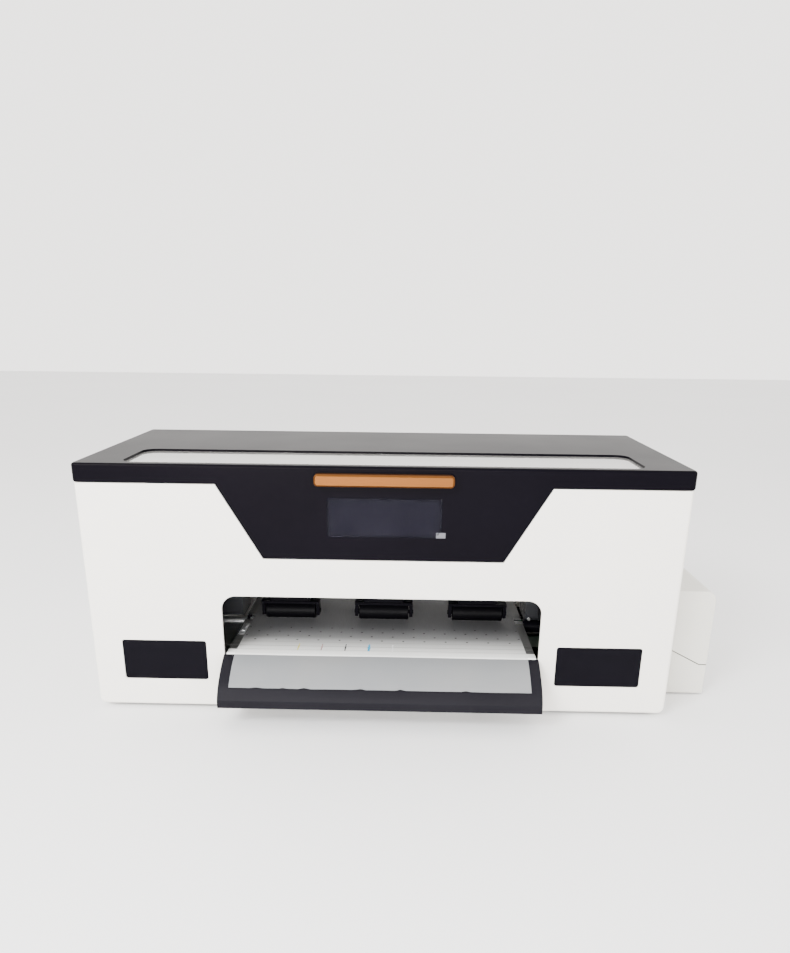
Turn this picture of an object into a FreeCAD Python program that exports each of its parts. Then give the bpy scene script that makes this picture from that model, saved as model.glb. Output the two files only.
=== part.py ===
"""Desktop film printer for A3 roll film: a white casing with a hinged lid, a perforated film
platen under three pinch rollers, a curved front apron, a sliding print carriage and an ink box."""

import FreeCAD, Part
import math
import os
from FreeCAD import Vector

# ---- driving dimensions, millimetres -------------------------------------------------------
# casing
BODY_W = 650.0
BODY_D = 270.0
BODY_H = 284.0
WALL = 2.5
FOOT_H = 4.0
FOOT_R = 12.0
FOOT_INSET = 32.0
CORNER_R = 4.0
BASE_R = 8.0
SEAM = 0.4
PANEL_LIP = 8.0
TRAY_FLANGE = 26.0
LEDGE_T = 1.5
# lid
LID_BAND = 20.0
LID_GAP = 0.8
LID_CORNER_R = 5.0
LID_EDGE_R = 3.0
LID_OVER = 1.5
LID_RIM_T = 6.0
LID_RIM_R = 4.0
FLAP_TOP_HALF = 177.0
FLAP_LOW_HALF = 129.5
FLAP_DROP = 81.0
FLAP_T = 3.0
FLAP_GAP = 0.8
FLAP_CORNER_R = 1.2
FLAP_X = 1.8
WINDOW_HALF = 278.0
WINDOW_FRONT = 11.0
WINDOW_LEN = 88.0
WINDOW_R = 15.0
WINDOW_LAP = 8.0
WINDOW_T = 3.0
HANDLE_W = 146.0
HANDLE_H = 13.0
HANDLE_OUT = 10.0
HANDLE_BELOW = 7.0
HANDLE_X = 2.5
HANDLE_GRIP_R = 3.0
HANDLE_CORNER_R = 4.5
HANDLE_BEVEL = 1.8
DISPLAY_W = 120.0
DISPLAY_H = 41.0
DISPLAY_T = 2.0
DISPLAY_UP = 26.0
DISPLAY_BACK = 9.0
DISPLAY_X = 3.0
DISPLAY_IN = 0.1
HINGE_R = 3.5
HINGE_PIN_R = 1.5
HINGE_OUT = 4.0
HINGE_X = 220.0
HINGE_W = 60.0
HINGE_LEAF = 2.0
# film path
PLATEN_Z = 70.0
PLATEN_HALF = 174.5
PLATEN_T = 12.0
PLATEN_SLOT = 9.0
HOLE_R = 1.0
HOLE_PITCH = 25.0
HOLE_ROW_PITCH = 12.5
HOLE_FIRST_ROW = 43.0
HOLE_ROWS = 4
PLATEN_GROOVES = [(14.0, 1.0), (24.0, 1.6), (36.0, 1.0)]
PLATEN_GROOVE_DEEP = 0.8
FILM_W = 330.0
FILM_T = 0.3
FILM_BACK = 236.0
OPENING_HALF = 176.5
OPENING_TOP = 139.0
OPENING_R = 16.0
REAR_SLOT_H = 22.0
REAR_SLOT_R = 4.0
APRON_HALF = 177.0
APRON_T = 1.5
APRON_DROP = 0.7
APRON_LIP_Z = 25.0
# (radius, heading in degrees below the horizontal where the arc ends), from the platen outwards
APRON_START = 19.0
APRON_ARCS = [(100.0, 41.0), (42.0, 68.0), (2.0, 90.0)]
PLATEN_NOSE_R = 4.0
FILM_LEAD = 4.0
FILM_ARCS = [(14.0, 19.0), (100.0, 41.0), (42.0, 49.0)]
# feed and pinch rollers
GRIT_R = 6.0
GRIT_Y = 115.0
JOURNAL_R = 4.0
PINCH_R = 10.0
PINCH_LEN = 62.0
PINCH_IN = 57.5
PINCH_AXLE_R = 2.5
PINCH_HUB_HALF = 36.0
ARM_W = 48.0
ARM_T = 8.0
PIVOT_BACK = 35.0
PIVOT_UP = 17.0
PIVOT_R = 4.0
LEVER_X = -235.0
LEVER_LEN = 92.0
SPRING_R = 4.0
SPRING_H = 7.0
SPRING_WIRE = 0.6
FEED_PULLEY_R = 18.0
MOTOR_PULLEY_R = 8.0
PULLEY_W = 7.0
BELT_T = 1.4
FEED_MOTOR_Y = 62.0
FEED_MOTOR_Z = 34.0
MOTOR_SIZE = 42.0
MOTOR_LEN = 38.0
MOTOR_SHAFT_R = 2.5
# frames, beam and carriage
FRAME_X = 308.0
FRAME_T = 3.0
FRAME_FRONT = 20.0
FRAME_BACK = 200.0
FRAME_TOP = 155.0
FRAME_SHOULDER = 120.0
FRAME_NOSE = 100.0
BEAM_Y = 112.0
BEAM_D = 28.0
BEAM_Z = 112.0
BEAM_H = 38.0
BEAM_WALL = 3.0
RAIL_W = 12.0
RAIL_H = 8.0
CARRIAGE_X = 245.0
CARRIAGE_W = 110.0
CARRIAGE_FRONT = 30.0
CARRIAGE_BACK = 98.0
CARRIAGE_Z = 86.0
CARRIAGE_TOP = 166.0
CARRIAGE_WALL = 3.0
BLOCK_L = 45.0
BLOCK_W = 27.0
HEAD_W = 50.0
HEAD_D = 43.0
HEAD_FRONT = 45.0
HEAD_GAP = 2.2
LAMP_W = 20.0
DAMPERS = 6
DAMPER_PITCH_X = 25.0
DAMPER_PITCH_Y = 13.0
BELT_PULLEY_R = 8.0
BELT_Z = 152.0
BELT_W = 6.0
X_MOTOR_IN = 285.0
X_IDLER_IN = 296.0
# end covers beside the rollers
COVER_FRONT = 104.0
COVER_BACK = 150.0
COVER_Z = 74.0
COVER_TOP = 104.0
COVER_WALL = 2.5
# capping station
CAP_LIFT = 6.0
CAP_H = 16.0
CAP_STEM = 12.0
CAP_BASE_TOP = 44.0
# vacuum
VACUUM_FRONT = 30.0
VACUUM_BACK = 95.0
VACUUM_DROP = 20.0
FAN_SIZE = 60.0
FAN_T = 15.0
FAN_BORE_R = 28.0
FAN_HUB_R = 12.0
FAN_BLADES = 7
FAN_HOLE_R = 2.1
FAN_HOLE_IN = 5.0
REAR_FAN_X = -240.0
REAR_FAN_Z = 125.0
# blank front panels
BLANK_X = 244.0
BLANK_W = 94.5
BLANK_H = 47.0
BLANK_Z = 61.0
BLANK_R = 2.5
# side ink box
BOX_W = 65.0
BOX_FRONT = 60.0
BOX_LEN = 190.0
BOX_Z = 2.0
BOX_TOP = 133.0
BOX_EDGE_R = 12.0
BOX_WALL = 2.5
BOX_SEAM_IN = 69.0
BOX_SEAM_OUT = 40.0
BOX_SEAM_FLAT = 9.0
BOX_HINGE_IN = 6.3
BOX_HINGE_DOWN = 3.5
BOX_HINGE_R = 2.6
BOX_SKIN_IN = 4.6
BOX_PIN_R = 1.5
TANKS = 6
TANK_W = 26.0
TANK_H = 92.0
TANK_WALL = 1.5
TANK_IN = 12.0
TANK_OUT = 9.0
TANK_PITCH = 30.0
TANK_CAP_R = 9.0
TANK_CAP_H = 10.0
# electrics
INLET_X = -282.0
INLET_W = 48.0
INLET_H = 28.0
INLET_Z = 36.0
ROCKER_GAP = 18.0
ROCKER_W = 13.0
ROCKER_H = 20.0
ROCKER_TILT = 8.0
PORT_X = 236.0
PORT_W = 14.0
PORT_H = 11.0
SUPPLY_X = (-288.0, -178.0)
SUPPLY_Y = (135.0, 255.0)
SUPPLY_H = 48.0
BOARD_X = (170.0, 290.0)
BOARD_FRONT = 150.0
BOARD_UP = 10.0
BOARD_T = 1.6
# fits between pieces
RUN = 0.05
CLEAR = 0.3

# ---- places worked out from the driving dimensions ------------------------------------------
HALF_W = BODY_W / 2
LID_Z = BODY_H - LID_BAND
LID_HALF = HALF_W + LID_OVER
FLOOR_Z = FOOT_H + WALL
FLAP_Z = LID_Z - FLAP_DROP
DISPLAY_Z = FLAP_Z + DISPLAY_UP
FILM_Z = PLATEN_Z
GRIT_Z = FILM_Z - CLEAR - GRIT_R
PINCH_Z = FILM_Z + FILM_T + CLEAR + PINCH_R
PIVOT_Y = GRIT_Y + PIVOT_BACK
PIVOT_Z = PINCH_Z + PIVOT_UP
HINGE_Y = BODY_D + HINGE_OUT
HEAD_Z = FILM_Z + FILM_T + HEAD_GAP
BOX_X = HALF_W
BOX_OUT = HALF_W + BOX_W
BOX_BACK = BOX_FRONT + BOX_LEN
BOX_PIN_X = BOX_X + BOX_HINGE_IN
BOX_PIN_Z = BOX_TOP - BOX_HINGE_DOWN
PULLEY_X = -FRAME_X - FRAME_T - 1.0 - PULLEY_W
WINDOW_BACK = WINDOW_FRONT + WINDOW_LEN
RAIL_Z = BEAM_Z + BEAM_H / 2
BELT_Y = BEAM_Y + BEAM_D / 2
ROCKER_X = INLET_X + INLET_W / 2 + ROCKER_GAP
PORT_Z = FLOOR_Z + LEDGE_T + BOARD_UP + BOARD_T
DECK_Z = FLOOR_Z + LEDGE_T
PINCH_SPACING = PLATEN_HALF - PINCH_IN
PINCH_X = [-PINCH_SPACING, 0.0, PINCH_SPACING]


def heading(degrees):
    """Unit vectors along and square to a path in the YZ plane, sloping down towards the front."""
    a = math.radians(degrees)
    along = Vector(0, -math.cos(a), -math.sin(a))
    inward = Vector(0, math.sin(a), -math.cos(a))
    return along, inward


def arc_path(start, first, arcs, offset=0.0):
    """Edges of a chain of tangent arcs in the YZ plane, moved outwards by an offset."""
    edges = []
    point = start
    angle = first
    for radius, last in arcs:
        centre = point + heading(angle)[1] * radius
        ends = [centre - heading(a)[1] * (radius + offset) for a in (angle, (angle + last) / 2, last)]
        edges.append(Part.Arc(*ends).toShape())
        point = centre - heading(last)[1] * radius
        angle = last
    return edges, point


def box(x0, x1, y0, y1, z0, z1):
    return Part.makeBox(x1 - x0, y1 - y0, z1 - z0, Vector(x0, y0, z0))


def rod(axis, radius, start, end, u, v):
    """A cylinder along X, Y or Z from start to end; u and v are its other two coordinates."""
    if axis == "x":
        return Part.makeCylinder(radius, end - start, Vector(start, u, v), Vector(1, 0, 0))
    if axis == "y":
        return Part.makeCylinder(radius, end - start, Vector(u, start, v), Vector(0, 1, 0))
    return Part.makeCylinder(radius, end - start, Vector(u, v, start), Vector(0, 0, 1))


def edges_along(shape, axis):
    """Straight edges of a shape that run along X, Y or Z."""
    direction = {"x": Vector(1, 0, 0), "y": Vector(0, 1, 0), "z": Vector(0, 0, 1)}[axis]
    found = []
    for edge in shape.Edges:
        if edge.Curve.TypeId != "Part::GeomLine":
            continue
        run = edge.Vertexes[-1].Point - edge.Vertexes[0].Point
        if abs(run.dot(direction)) > 0.999 * run.Length:
            found.append(edge)
    return found


def rounded(shape, axis, radius, where=None):
    """Fillet the straight edges along an axis, all of them or those that the test picks."""
    edges = edges_along(shape, axis)
    if where:
        edges = [e for e in edges if where(e.CenterOfMass)]
    return shape.makeFillet(radius, edges)


def prism_y(points, y0, y1):
    """A prism along Y from an outline of (x, z) points."""
    wire = Part.makePolygon([Vector(x, y0, z) for x, z in points + points[:1]])
    return Part.Face(wire).extrude(Vector(0, y1 - y0, 0))


def prism_x(points, x0, x1):
    """A prism along X from an outline of (y, z) points."""
    wire = Part.makePolygon([Vector(x0, y, z) for y, z in points + points[:1]])
    return Part.Face(wire).extrude(Vector(x1 - x0, 0, 0))


def fuse(*shapes):
    return shapes[0].multiFuse(list(shapes[1:])).removeSplitter()


def cut(shape, *tools):
    return shape.cut(Part.makeCompound(list(tools)))


# the origin of the kept model: the middle of the underside of its outer box
APRON_FRONT = arc_path(Vector(0, 0, PLATEN_Z - APRON_DROP), APRON_START, APRON_ARCS)[1].y
ORIGIN = Vector((BOX_OUT - LID_HALF) / 2, (HINGE_Y + HINGE_R + APRON_FRONT) / 2, 0)


def save(name, *solids):
    """Write one node: its solids, moved so that the origin is the middle of the underside."""
    pieces = [s for shape in solids for s in shape.Solids]
    shape = pieces[0] if len(pieces) == 1 else Part.makeCompound(pieces)
    shape = shape.copy()
    shape.translate(ORIGIN * -1)
    shape.exportStep("parts/" + name + ".step")


# ---- casing ---------------------------------------------------------------------------------
def casing_shell():
    """The whole open-topped casing before it is parted into panels."""
    top = LID_Z - LID_GAP
    outer = box(-HALF_W, HALF_W, 0, BODY_D, FOOT_H, top)
    outer = rounded(outer, "y", BASE_R, lambda p: p.z < FOOT_H + 1)
    outer = rounded(outer, "z", CORNER_R)
    inner = box(-HALF_W + WALL, HALF_W - WALL, WALL, BODY_D - WALL, FLOOR_Z, top + 1)
    inner = rounded(inner, "y", BASE_R - WALL, lambda p: p.z < FLOOR_Z + 1)
    return outer.cut(inner)


def trapezoid(gap, y0, y1, top):
    """The flap outline, grown by a gap, from its lower edge up to a height."""
    slope = (FLAP_TOP_HALF - FLAP_LOW_HALF) / FLAP_DROP
    low = FLAP_Z - gap
    half_low = FLAP_LOW_HALF + gap - slope * gap
    half_top = half_low + slope * (top - low)
    outline = [(FLAP_X - half_low, low), (FLAP_X + half_low, low), (FLAP_X + half_top, top),
               (FLAP_X - half_top, top)]
    solid = prism_y(outline, y0, y1)
    return rounded(solid, "y", FLAP_CORNER_R, lambda p: p.z < low + 1)


def blank_outline(side, grow, y0, y1):
    half_w = BLANK_W / 2 + grow
    half_h = BLANK_H / 2 + grow
    x = side * BLANK_X
    plate = box(x - half_w, x + half_w, y0, y1, BLANK_Z - half_h, BLANK_Z + half_h)
    return rounded(plate, "y", BLANK_R + grow)


def front_panel(shell):
    panel = shell.common(box(-HALF_W, HALF_W, 0, PANEL_LIP, 0, BODY_H))
    opening = box(-OPENING_HALF, OPENING_HALF, -1, PANEL_LIP + 1, PLATEN_Z - PLATEN_T - 2, OPENING_TOP)
    opening = rounded(opening, "y", OPENING_R, lambda p: p.z > PLATEN_Z)
    flap = trapezoid(FLAP_GAP, -1, PANEL_LIP + 1, BODY_H)
    blanks = [blank_outline(side, SEAM, -1, PANEL_LIP + 1) for side in (-1, 1)]
    return cut(panel, opening, flap, *blanks)


def blank_panel(side):
    plate = blank_outline(side, 0, 0.2, WALL)
    flange = blank_outline(side, 4, WALL, 2 * WALL)
    return fuse(plate, flange)


def screw_places(side):
    return [(side * HALF_W, y, z) for y in (24.0, BODY_D - 24.0) for z in (24.0, LID_Z - 24.0)]


def screw(side, x, y, z, head=3.5):
    """A flush screw with a socket, its head level with a side wall."""
    ends = sorted((x, x - side * 1.6))
    shank = sorted((x - side * 1.6, x - side * 9.0))
    solid = fuse(rod("x", head, ends[0], ends[1], y, z), rod("x", 1.5, shank[0], shank[1], y, z))
    socket = sorted((x + side * 1.0, x - side * 1.0))
    return solid.cut(rod("x", 1.3, socket[0], socket[1], y, z))


def side_cover(shell, side):
    x = sorted((side * HALF_W, side * (HALF_W - 14.0)))
    cover = shell.common(box(x[0], x[1], PANEL_LIP + SEAM, BODY_D - PANEL_LIP - SEAM, 0, BODY_H))
    holes = []
    for place in screw_places(side):
        head = sorted((place[0] + side, place[0] - side * 1.6))
        holes.append(rod("x", 3.6, head[0], head[1], place[1], place[2]))
        shank = sorted((place[0] + side, place[0] - side * (WALL + 1)))
        holes.append(rod("x", 1.6, shank[0], shank[1], place[1], place[2]))
    for i in range(9):
        y = BODY_D - 60 - i * 9.0
        slot = box(x[0] - 1, x[1] + 1, y, y + 4, 200, 232)
        holes.append(rounded(slot, "x", 1.9))
    return cut(cover, *holes)


def case_screws():
    return [screw(side, *place) for side in (-1, 1) for place in screw_places(side)]


def base_tray():
    x = HALF_W - 14.0 - SEAM
    y0 = PANEL_LIP + SEAM
    y1 = BODY_D - PANEL_LIP - SEAM
    floor = box(-x, x, y0, y1, FOOT_H, FLOOR_Z)
    inner_x = HALF_W - WALL
    ledge = box(-inner_x + 8, inner_x - 8, WALL, BODY_D - WALL, FLOOR_Z, DECK_Z)
    rim = FLOOR_Z + TRAY_FLANGE
    front = box(-inner_x + 8, inner_x - 8, WALL, WALL + 1.5, FLOOR_Z, rim)
    front = front.cut(box(-OPENING_HALF, OPENING_HALF, 0, 10, FLOOR_Z + 12, rim + 1))
    back = box(-inner_x + 8, inner_x - 8, BODY_D - WALL - 1.5, BODY_D - WALL, FLOOR_Z, rim)
    inlet_x = (INLET_X - INLET_W / 2 - 2, INLET_X + INLET_W + 4)
    back = back.cut(box(*inlet_x, 200, BODY_D, FLOOR_Z + 4, rim + 1))
    back = back.cut(box(PORT_X - PORT_W, PORT_X + PORT_W, 200, BODY_D, FLOOR_Z + 4, rim + 1))
    side_x = inner_x - 8.75
    sides = [box(s - 0.75, s + 0.75, BODY_D / 2, BODY_D - 30, FLOOR_Z, rim) for s in (-side_x, side_x)]
    vents = [box(-60 + i * 12.0, -56 + i * 12.0, 40, 90, 0, FLOOR_Z + 5) for i in range(11)]
    return cut(fuse(floor, ledge, front, back, *sides), *vents)


def feet():
    rows = (FOOT_INSET, BODY_D - FOOT_INSET)
    places = [(side * (HALF_W - FOOT_INSET), y) for side in (-1, 1) for y in rows]
    found = []
    for x, y in places:
        foot = rod("z", FOOT_R, 0, FOOT_H, x, y)
        found.append(foot.makeFillet(0.8, [e for e in foot.Edges if e.BoundBox.ZMax < 0.1]))
    return found


def back_panel(shell):
    panel = shell.common(box(-HALF_W, HALF_W, BODY_D - PANEL_LIP, BODY_D, 0, BODY_H))
    y = (BODY_D - PANEL_LIP - 1, BODY_D + 1)
    slot = box(-OPENING_HALF, OPENING_HALF, y[0], y[1], PLATEN_Z - 4, PLATEN_Z + REAR_SLOT_H)
    slot = rounded(slot, "y", REAR_SLOT_R)
    inlet = box(INLET_X - INLET_W / 2 + 2, INLET_X + INLET_W / 2 - 2, y[0], y[1],
                INLET_Z - INLET_H / 2 + 2, INLET_Z + INLET_H / 2 - 2)
    rocker = box(ROCKER_X - ROCKER_W / 2 - 1, ROCKER_X + ROCKER_W / 2 + 1, y[0], y[1],
                 INLET_Z - ROCKER_H / 2 - 1, INLET_Z + ROCKER_H / 2 + 1)
    half = PORT_W / 2 + 1
    port = box(PORT_X - half, PORT_X + half, y[0], y[1], PORT_Z - 1, PORT_Z + PORT_H + 1)
    tools = [slot, inlet, rocker, port]
    for i in range(9):
        z = REAR_FAN_Z - 24 + i * 6.0
        half = math.sqrt(FAN_BORE_R ** 2 - (z + 1.5 - REAR_FAN_Z) ** 2)
        tools.append(box(REAR_FAN_X - half, REAR_FAN_X + half, y[0], y[1], z, z + 3))
    for i in range(16):
        x = 130 + i * 9.0
        tools.append(rounded(box(x, x + 4, y[0], y[1], 110, 150), "y", 1.9))
    return cut(panel, *tools)


# ---- lid ------------------------------------------------------------------------------------
def lid_shell():
    block = box(-LID_HALF, LID_HALF, 0, BODY_D, LID_Z, BODY_H)
    outer = rounded(block, "y", LID_RIM_R, lambda p: p.z < LID_Z + 1)
    outer = outer.common(rounded(block, "z", LID_CORNER_R))
    outer = outer.makeFillet(LID_EDGE_R, [e for e in outer.Edges if e.BoundBox.ZMin > BODY_H - 0.1])
    inner_half = LID_HALF - LID_RIM_T
    inner = box(-inner_half, inner_half, WALL, BODY_D - WALL, LID_Z - 1, BODY_H - WALL)
    inner = rounded(inner, "z", LID_CORNER_R - WALL)
    window = box(-WINDOW_HALF, WINDOW_HALF, WINDOW_FRONT, WINDOW_BACK, BODY_H - 10, BODY_H + 1)
    window = rounded(window, "z", WINDOW_R)
    flap = trapezoid(0, 0, FLAP_T, LID_Z + 8)
    cap = fuse(outer.cut(inner), flap)
    half = DISPLAY_W / 2 + CLEAR
    display = box(DISPLAY_X - half, DISPLAY_X + half, -1, FLAP_T + 1,
                  DISPLAY_Z - CLEAR, DISPLAY_Z + DISPLAY_H + CLEAR)
    return cut(cap, window, rounded(display, "y", 1.5))


def window_panel():
    lap = WINDOW_LAP
    front = max(WINDOW_FRONT - lap, WALL)
    plate = box(-WINDOW_HALF - lap, WINDOW_HALF + lap, front, WINDOW_BACK + lap,
                BODY_H - WALL - WINDOW_T, BODY_H - WALL)
    return rounded(plate, "z", WINDOW_R)


def handle():
    z = BODY_H - HANDLE_BELOW
    x0, x1 = HANDLE_X - HANDLE_W / 2, HANDLE_X + HANDLE_W / 2
    bar = box(x0, x1, -HANDLE_OUT, 0, z - HANDLE_H, z)
    bar = rounded(bar, "y", HANDLE_CORNER_R)
    bar = bar.makeChamfer(HANDLE_BEVEL, [e for e in bar.Edges if e.BoundBox.YMax < -HANDLE_OUT + 0.1])
    groove = rod("x", HANDLE_GRIP_R, x0 + 12, x1 - 12, -HANDLE_OUT / 2, z - HANDLE_H)
    return bar.cut(groove)


def display_glass():
    x0, x1 = DISPLAY_X - DISPLAY_W / 2, DISPLAY_X + DISPLAY_W / 2
    plate = box(x0, x1, DISPLAY_IN, DISPLAY_IN + DISPLAY_T, DISPLAY_Z, DISPLAY_Z + DISPLAY_H)
    return rounded(plate, "y", 1.2)


def display_module():
    """The screen's circuit board and its frame, behind the flap."""
    z0 = DISPLAY_Z - 4
    z1 = z0 + DISPLAY_H + 8
    half = DISPLAY_W / 2 + 6
    frame = box(DISPLAY_X - half, DISPLAY_X + half, FLAP_T, FLAP_T + DISPLAY_BACK, z0, z1)
    core_y = (DISPLAY_IN + DISPLAY_T, FLAP_T + 1)
    core = box(DISPLAY_X - half + 8, DISPLAY_X + half - 8, *core_y, z0 + 6, z1 - 6)
    return fuse(rounded(frame, "y", 2.0), core)


def hinge_knuckle(x0, x1, side, bore):
    """One knuckle with the web that joins it to its leaf; side is +1 for the lid's leaf."""
    barrel = rod("x", HINGE_R, x0, x1, HINGE_Y, LID_Z)
    web_z = sorted((LID_Z + side * 0.5, LID_Z + side * (HINGE_R + 2.5)))
    web = box(x0, x1, BODY_D, BODY_D + HINGE_LEAF, web_z[0], web_z[1])
    return fuse(barrel, web).cut(rod("x", bore, x0 - 1, x1 + 1, HINGE_Y, LID_Z))


def hinge_leaf(x, side):
    z = sorted((LID_Z + side * (HINGE_R + 1.0), LID_Z + side * (HINGE_R + 14.0)))
    return box(x - HINGE_W / 2, x + HINGE_W / 2, BODY_D, BODY_D + HINGE_LEAF, z[0], z[1])


def base_hinges():
    solids = []
    third = HINGE_W / 3
    for x in (-HINGE_X, HINGE_X):
        left = hinge_knuckle(x - HINGE_W / 2, x - third / 2 - CLEAR, -1, HINGE_PIN_R)
        right = hinge_knuckle(x + third / 2 + CLEAR, x + HINGE_W / 2, -1, HINGE_PIN_R)
        pin = rod("x", HINGE_PIN_R, x - HINGE_W / 2, x + HINGE_W / 2, HINGE_Y, LID_Z)
        solids.append(fuse(hinge_leaf(x, -1), left, right, pin))
    return solids


def lid_hinges():
    solids = []
    third = HINGE_W / 3
    for x in (-HINGE_X, HINGE_X):
        middle = hinge_knuckle(x - third / 2, x + third / 2, 1, HINGE_PIN_R + RUN)
        solids.append(fuse(hinge_leaf(x, 1), middle))
    return solids


# ---- film path ------------------------------------------------------------------------------
def apron():
    """The curved sheet that the film runs down over, with its lip, underside and closed ends."""
    start = Vector(0, 0, PLATEN_Z - APRON_DROP)
    outer, end = arc_path(start, APRON_START, APRON_ARCS)
    inner, inner_end = arc_path(start, APRON_START, APRON_ARCS, -APRON_T)

    def closed(edges, first, last, z):
        points = [last, Vector(0, last.y, z), Vector(0, 0, z), first]
        lines = [Part.makeLine(a, b) for a, b in zip(points, points[1:])]
        return Part.Face(Part.Wire(edges + lines))

    solid = closed(outer, start, end, APRON_LIP_Z).extrude(Vector(2 * APRON_HALF, 0, 0))
    solid.translate(Vector(-APRON_HALF, 0, 0))
    inner_first = inner[0].Vertexes[0].Point
    inner_last = end + Vector(0, APRON_T, 0)
    floor_z = APRON_LIP_Z + APRON_T
    corners = [inner_last, Vector(0, inner_last.y, floor_z), Vector(0, 1, floor_z),
               Vector(0, 1, inner_first.z), inner_first]
    lines = [Part.makeLine(a, b) for a, b in zip(corners, corners[1:])]
    hollow = Part.Face(Part.Wire(inner + lines)).extrude(Vector(2 * (APRON_HALF - APRON_T), 0, 0))
    hollow.translate(Vector(-APRON_HALF + APRON_T, 0, 0))
    return solid.cut(hollow)


def vacuum_platen():
    back = GRIT_Y - PLATEN_SLOT
    plate = box(-PLATEN_HALF, PLATEN_HALF, 0, back, PLATEN_Z - PLATEN_T, PLATEN_Z)
    plate = rounded(plate, "x", PLATEN_NOSE_R, lambda p: p.y < 1 and p.z > PLATEN_Z - 1)
    leg_z = (DECK_Z, PLATEN_Z - PLATEN_T)
    legs = []
    for x in (-PLATEN_HALF + 3, PLATEN_HALF - 3):
        legs.append(box(x - 3, x + 3, VACUUM_FRONT, VACUUM_BACK, *leg_z))
    tools = []
    for row in range(HOLE_ROWS):
        y = HOLE_FIRST_ROW + row * HOLE_ROW_PITCH
        shift = HOLE_PITCH / 2 if row % 2 else 0.0
        count = int((PLATEN_HALF - 10 - shift) / HOLE_PITCH)
        places = [shift + i * HOLE_PITCH for i in range(-count - (1 if shift else 0), count + 1)]
        tools += [rod("z", HOLE_R, PLATEN_Z - PLATEN_T - 1, PLATEN_Z + 1, x, y) for x in places]
    for y, width in PLATEN_GROOVES:
        groove_z = PLATEN_Z - PLATEN_GROOVE_DEEP
        tools.append(box(-PLATEN_HALF - 1, PLATEN_HALF + 1, y, y + width, groove_z, PLATEN_Z + 1))
    return cut(fuse(plate, *legs), *tools)


def rear_platen():
    front = GRIT_Y + PLATEN_SLOT
    plate = box(-PLATEN_HALF, PLATEN_HALF, front, BODY_D - PANEL_LIP, PLATEN_Z - 2, PLATEN_Z)
    legs = [box(s - 10, s + 10, front, front + 3, DECK_Z, PLATEN_Z - 2) for s in (-150.0, 0.0, 150.0)]
    return fuse(plate, *legs)


def vacuum_chamber():
    top = PLATEN_Z - PLATEN_T
    half = PLATEN_HALF - 8
    outer = box(-half, half, VACUUM_FRONT, VACUUM_BACK, top - VACUUM_DROP, top)
    inner = box(-half + 2, half - 2, VACUUM_FRONT + 2, VACUUM_BACK - 2, top - VACUUM_DROP + 2, top + 1)
    mid = (VACUUM_FRONT + VACUUM_BACK) / 2
    return cut(outer, inner, rod("z", FAN_BORE_R - 2, 0, top, 0, mid))


def fan_frame():
    """A square fan housing lying flat, its middle at the origin and its top at zero."""
    half = FAN_SIZE / 2
    frame = rounded(box(-half, half, -half, half, -FAN_T, 0), "z", 4.0)
    bore = rod("z", FAN_BORE_R, -FAN_T - 1, 1, 0, 0)
    corner = half - FAN_HOLE_IN
    corners = [(x, y) for x in (-corner, corner) for y in (-corner, corner)]
    holes = [rod("z", FAN_HOLE_R, -FAN_T - 1, 1, x, y) for x, y in corners]
    hub = rod("z", FAN_HUB_R, -2, 0, 0, 0)
    pin = rod("z", 1.5, -FAN_T + 3, -1, 0, 0)
    reach = FAN_BORE_R + 1
    spokes = [box(-reach, reach, -1.5, 1.5, -2, 0), box(-1.5, 1.5, -reach, reach, -2, 0)]
    return fuse(cut(frame, bore, *holes), hub, pin, *spokes)


def fan_rotor():
    """The hub and its pitched blades, on the fan frame's pin."""
    hub = rod("z", FAN_HUB_R, -FAN_T + 2, -2 - CLEAR, 0, 0)
    blades = []
    for i in range(FAN_BLADES):
        blade = box(FAN_HUB_R - 3, FAN_BORE_R - 1.2, -0.7, 0.7, -FAN_T + 3, -3.2)
        blade.rotate(Vector(0, 0, -FAN_T / 2), Vector(1, 0, 0), 38)
        blade = blade.common(rod("z", FAN_BORE_R - 1, -FAN_T + 2.5, -2.6, 0, 0))
        blade.rotate(Vector(0, 0, 0), Vector(0, 0, 1), i * 360.0 / FAN_BLADES)
        blades.append(blade)
    return fuse(hub, *blades).cut(rod("z", 1.5 + RUN, -FAN_T, -2, 0, 0))


def placed(shape, place, turn=None):
    shape = shape.copy()
    if turn:
        shape.rotate(Vector(0, 0, 0), turn[0], turn[1])
    shape.translate(place)
    return shape


def transfer_film():
    """The film over the platen and down the apron, as one thin sheet."""
    start = Vector(0, FILM_LEAD, FILM_Z)
    lower, end = arc_path(start, 0.0, FILM_ARCS)
    upper = arc_path(start, 0.0, FILM_ARCS, FILM_T)[0]
    top_start = Vector(0, FILM_LEAD, FILM_Z + FILM_T)
    back = [Vector(0, FILM_BACK, FILM_Z), Vector(0, FILM_BACK, FILM_Z + FILM_T)]
    top_end = end - heading(FILM_ARCS[-1][1])[1] * FILM_T
    lines = [Part.makeLine(start, back[0]), Part.makeLine(back[0], back[1]),
             Part.makeLine(back[1], top_start), Part.makeLine(end, top_end)]
    edges = Part.sortEdges(lower + upper + lines)[0]
    sheet = Part.Face(Part.Wire(edges)).extrude(Vector(FILM_W, 0, 0))
    sheet.translate(Vector(-FILM_W / 2, 0, 0))
    return sheet


# ---- feed and pinch rollers -----------------------------------------------------------------
def grit_roller():
    shaft = rod("x", GRIT_R - 0.3, -FRAME_X + CLEAR, FRAME_X - CLEAR, GRIT_Y, GRIT_Z)
    bands = [rod("x", GRIT_R, x - PINCH_LEN / 2, x + PINCH_LEN / 2, GRIT_Y, GRIT_Z) for x in PINCH_X]
    right = rod("x", JOURNAL_R, FRAME_X - 2, FRAME_X + FRAME_T, GRIT_Y, GRIT_Z)
    left = rod("x", JOURNAL_R, PULLEY_X, -FRAME_X + 2, GRIT_Y, GRIT_Z)
    return fuse(shaft, *bands, right, left)


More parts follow.
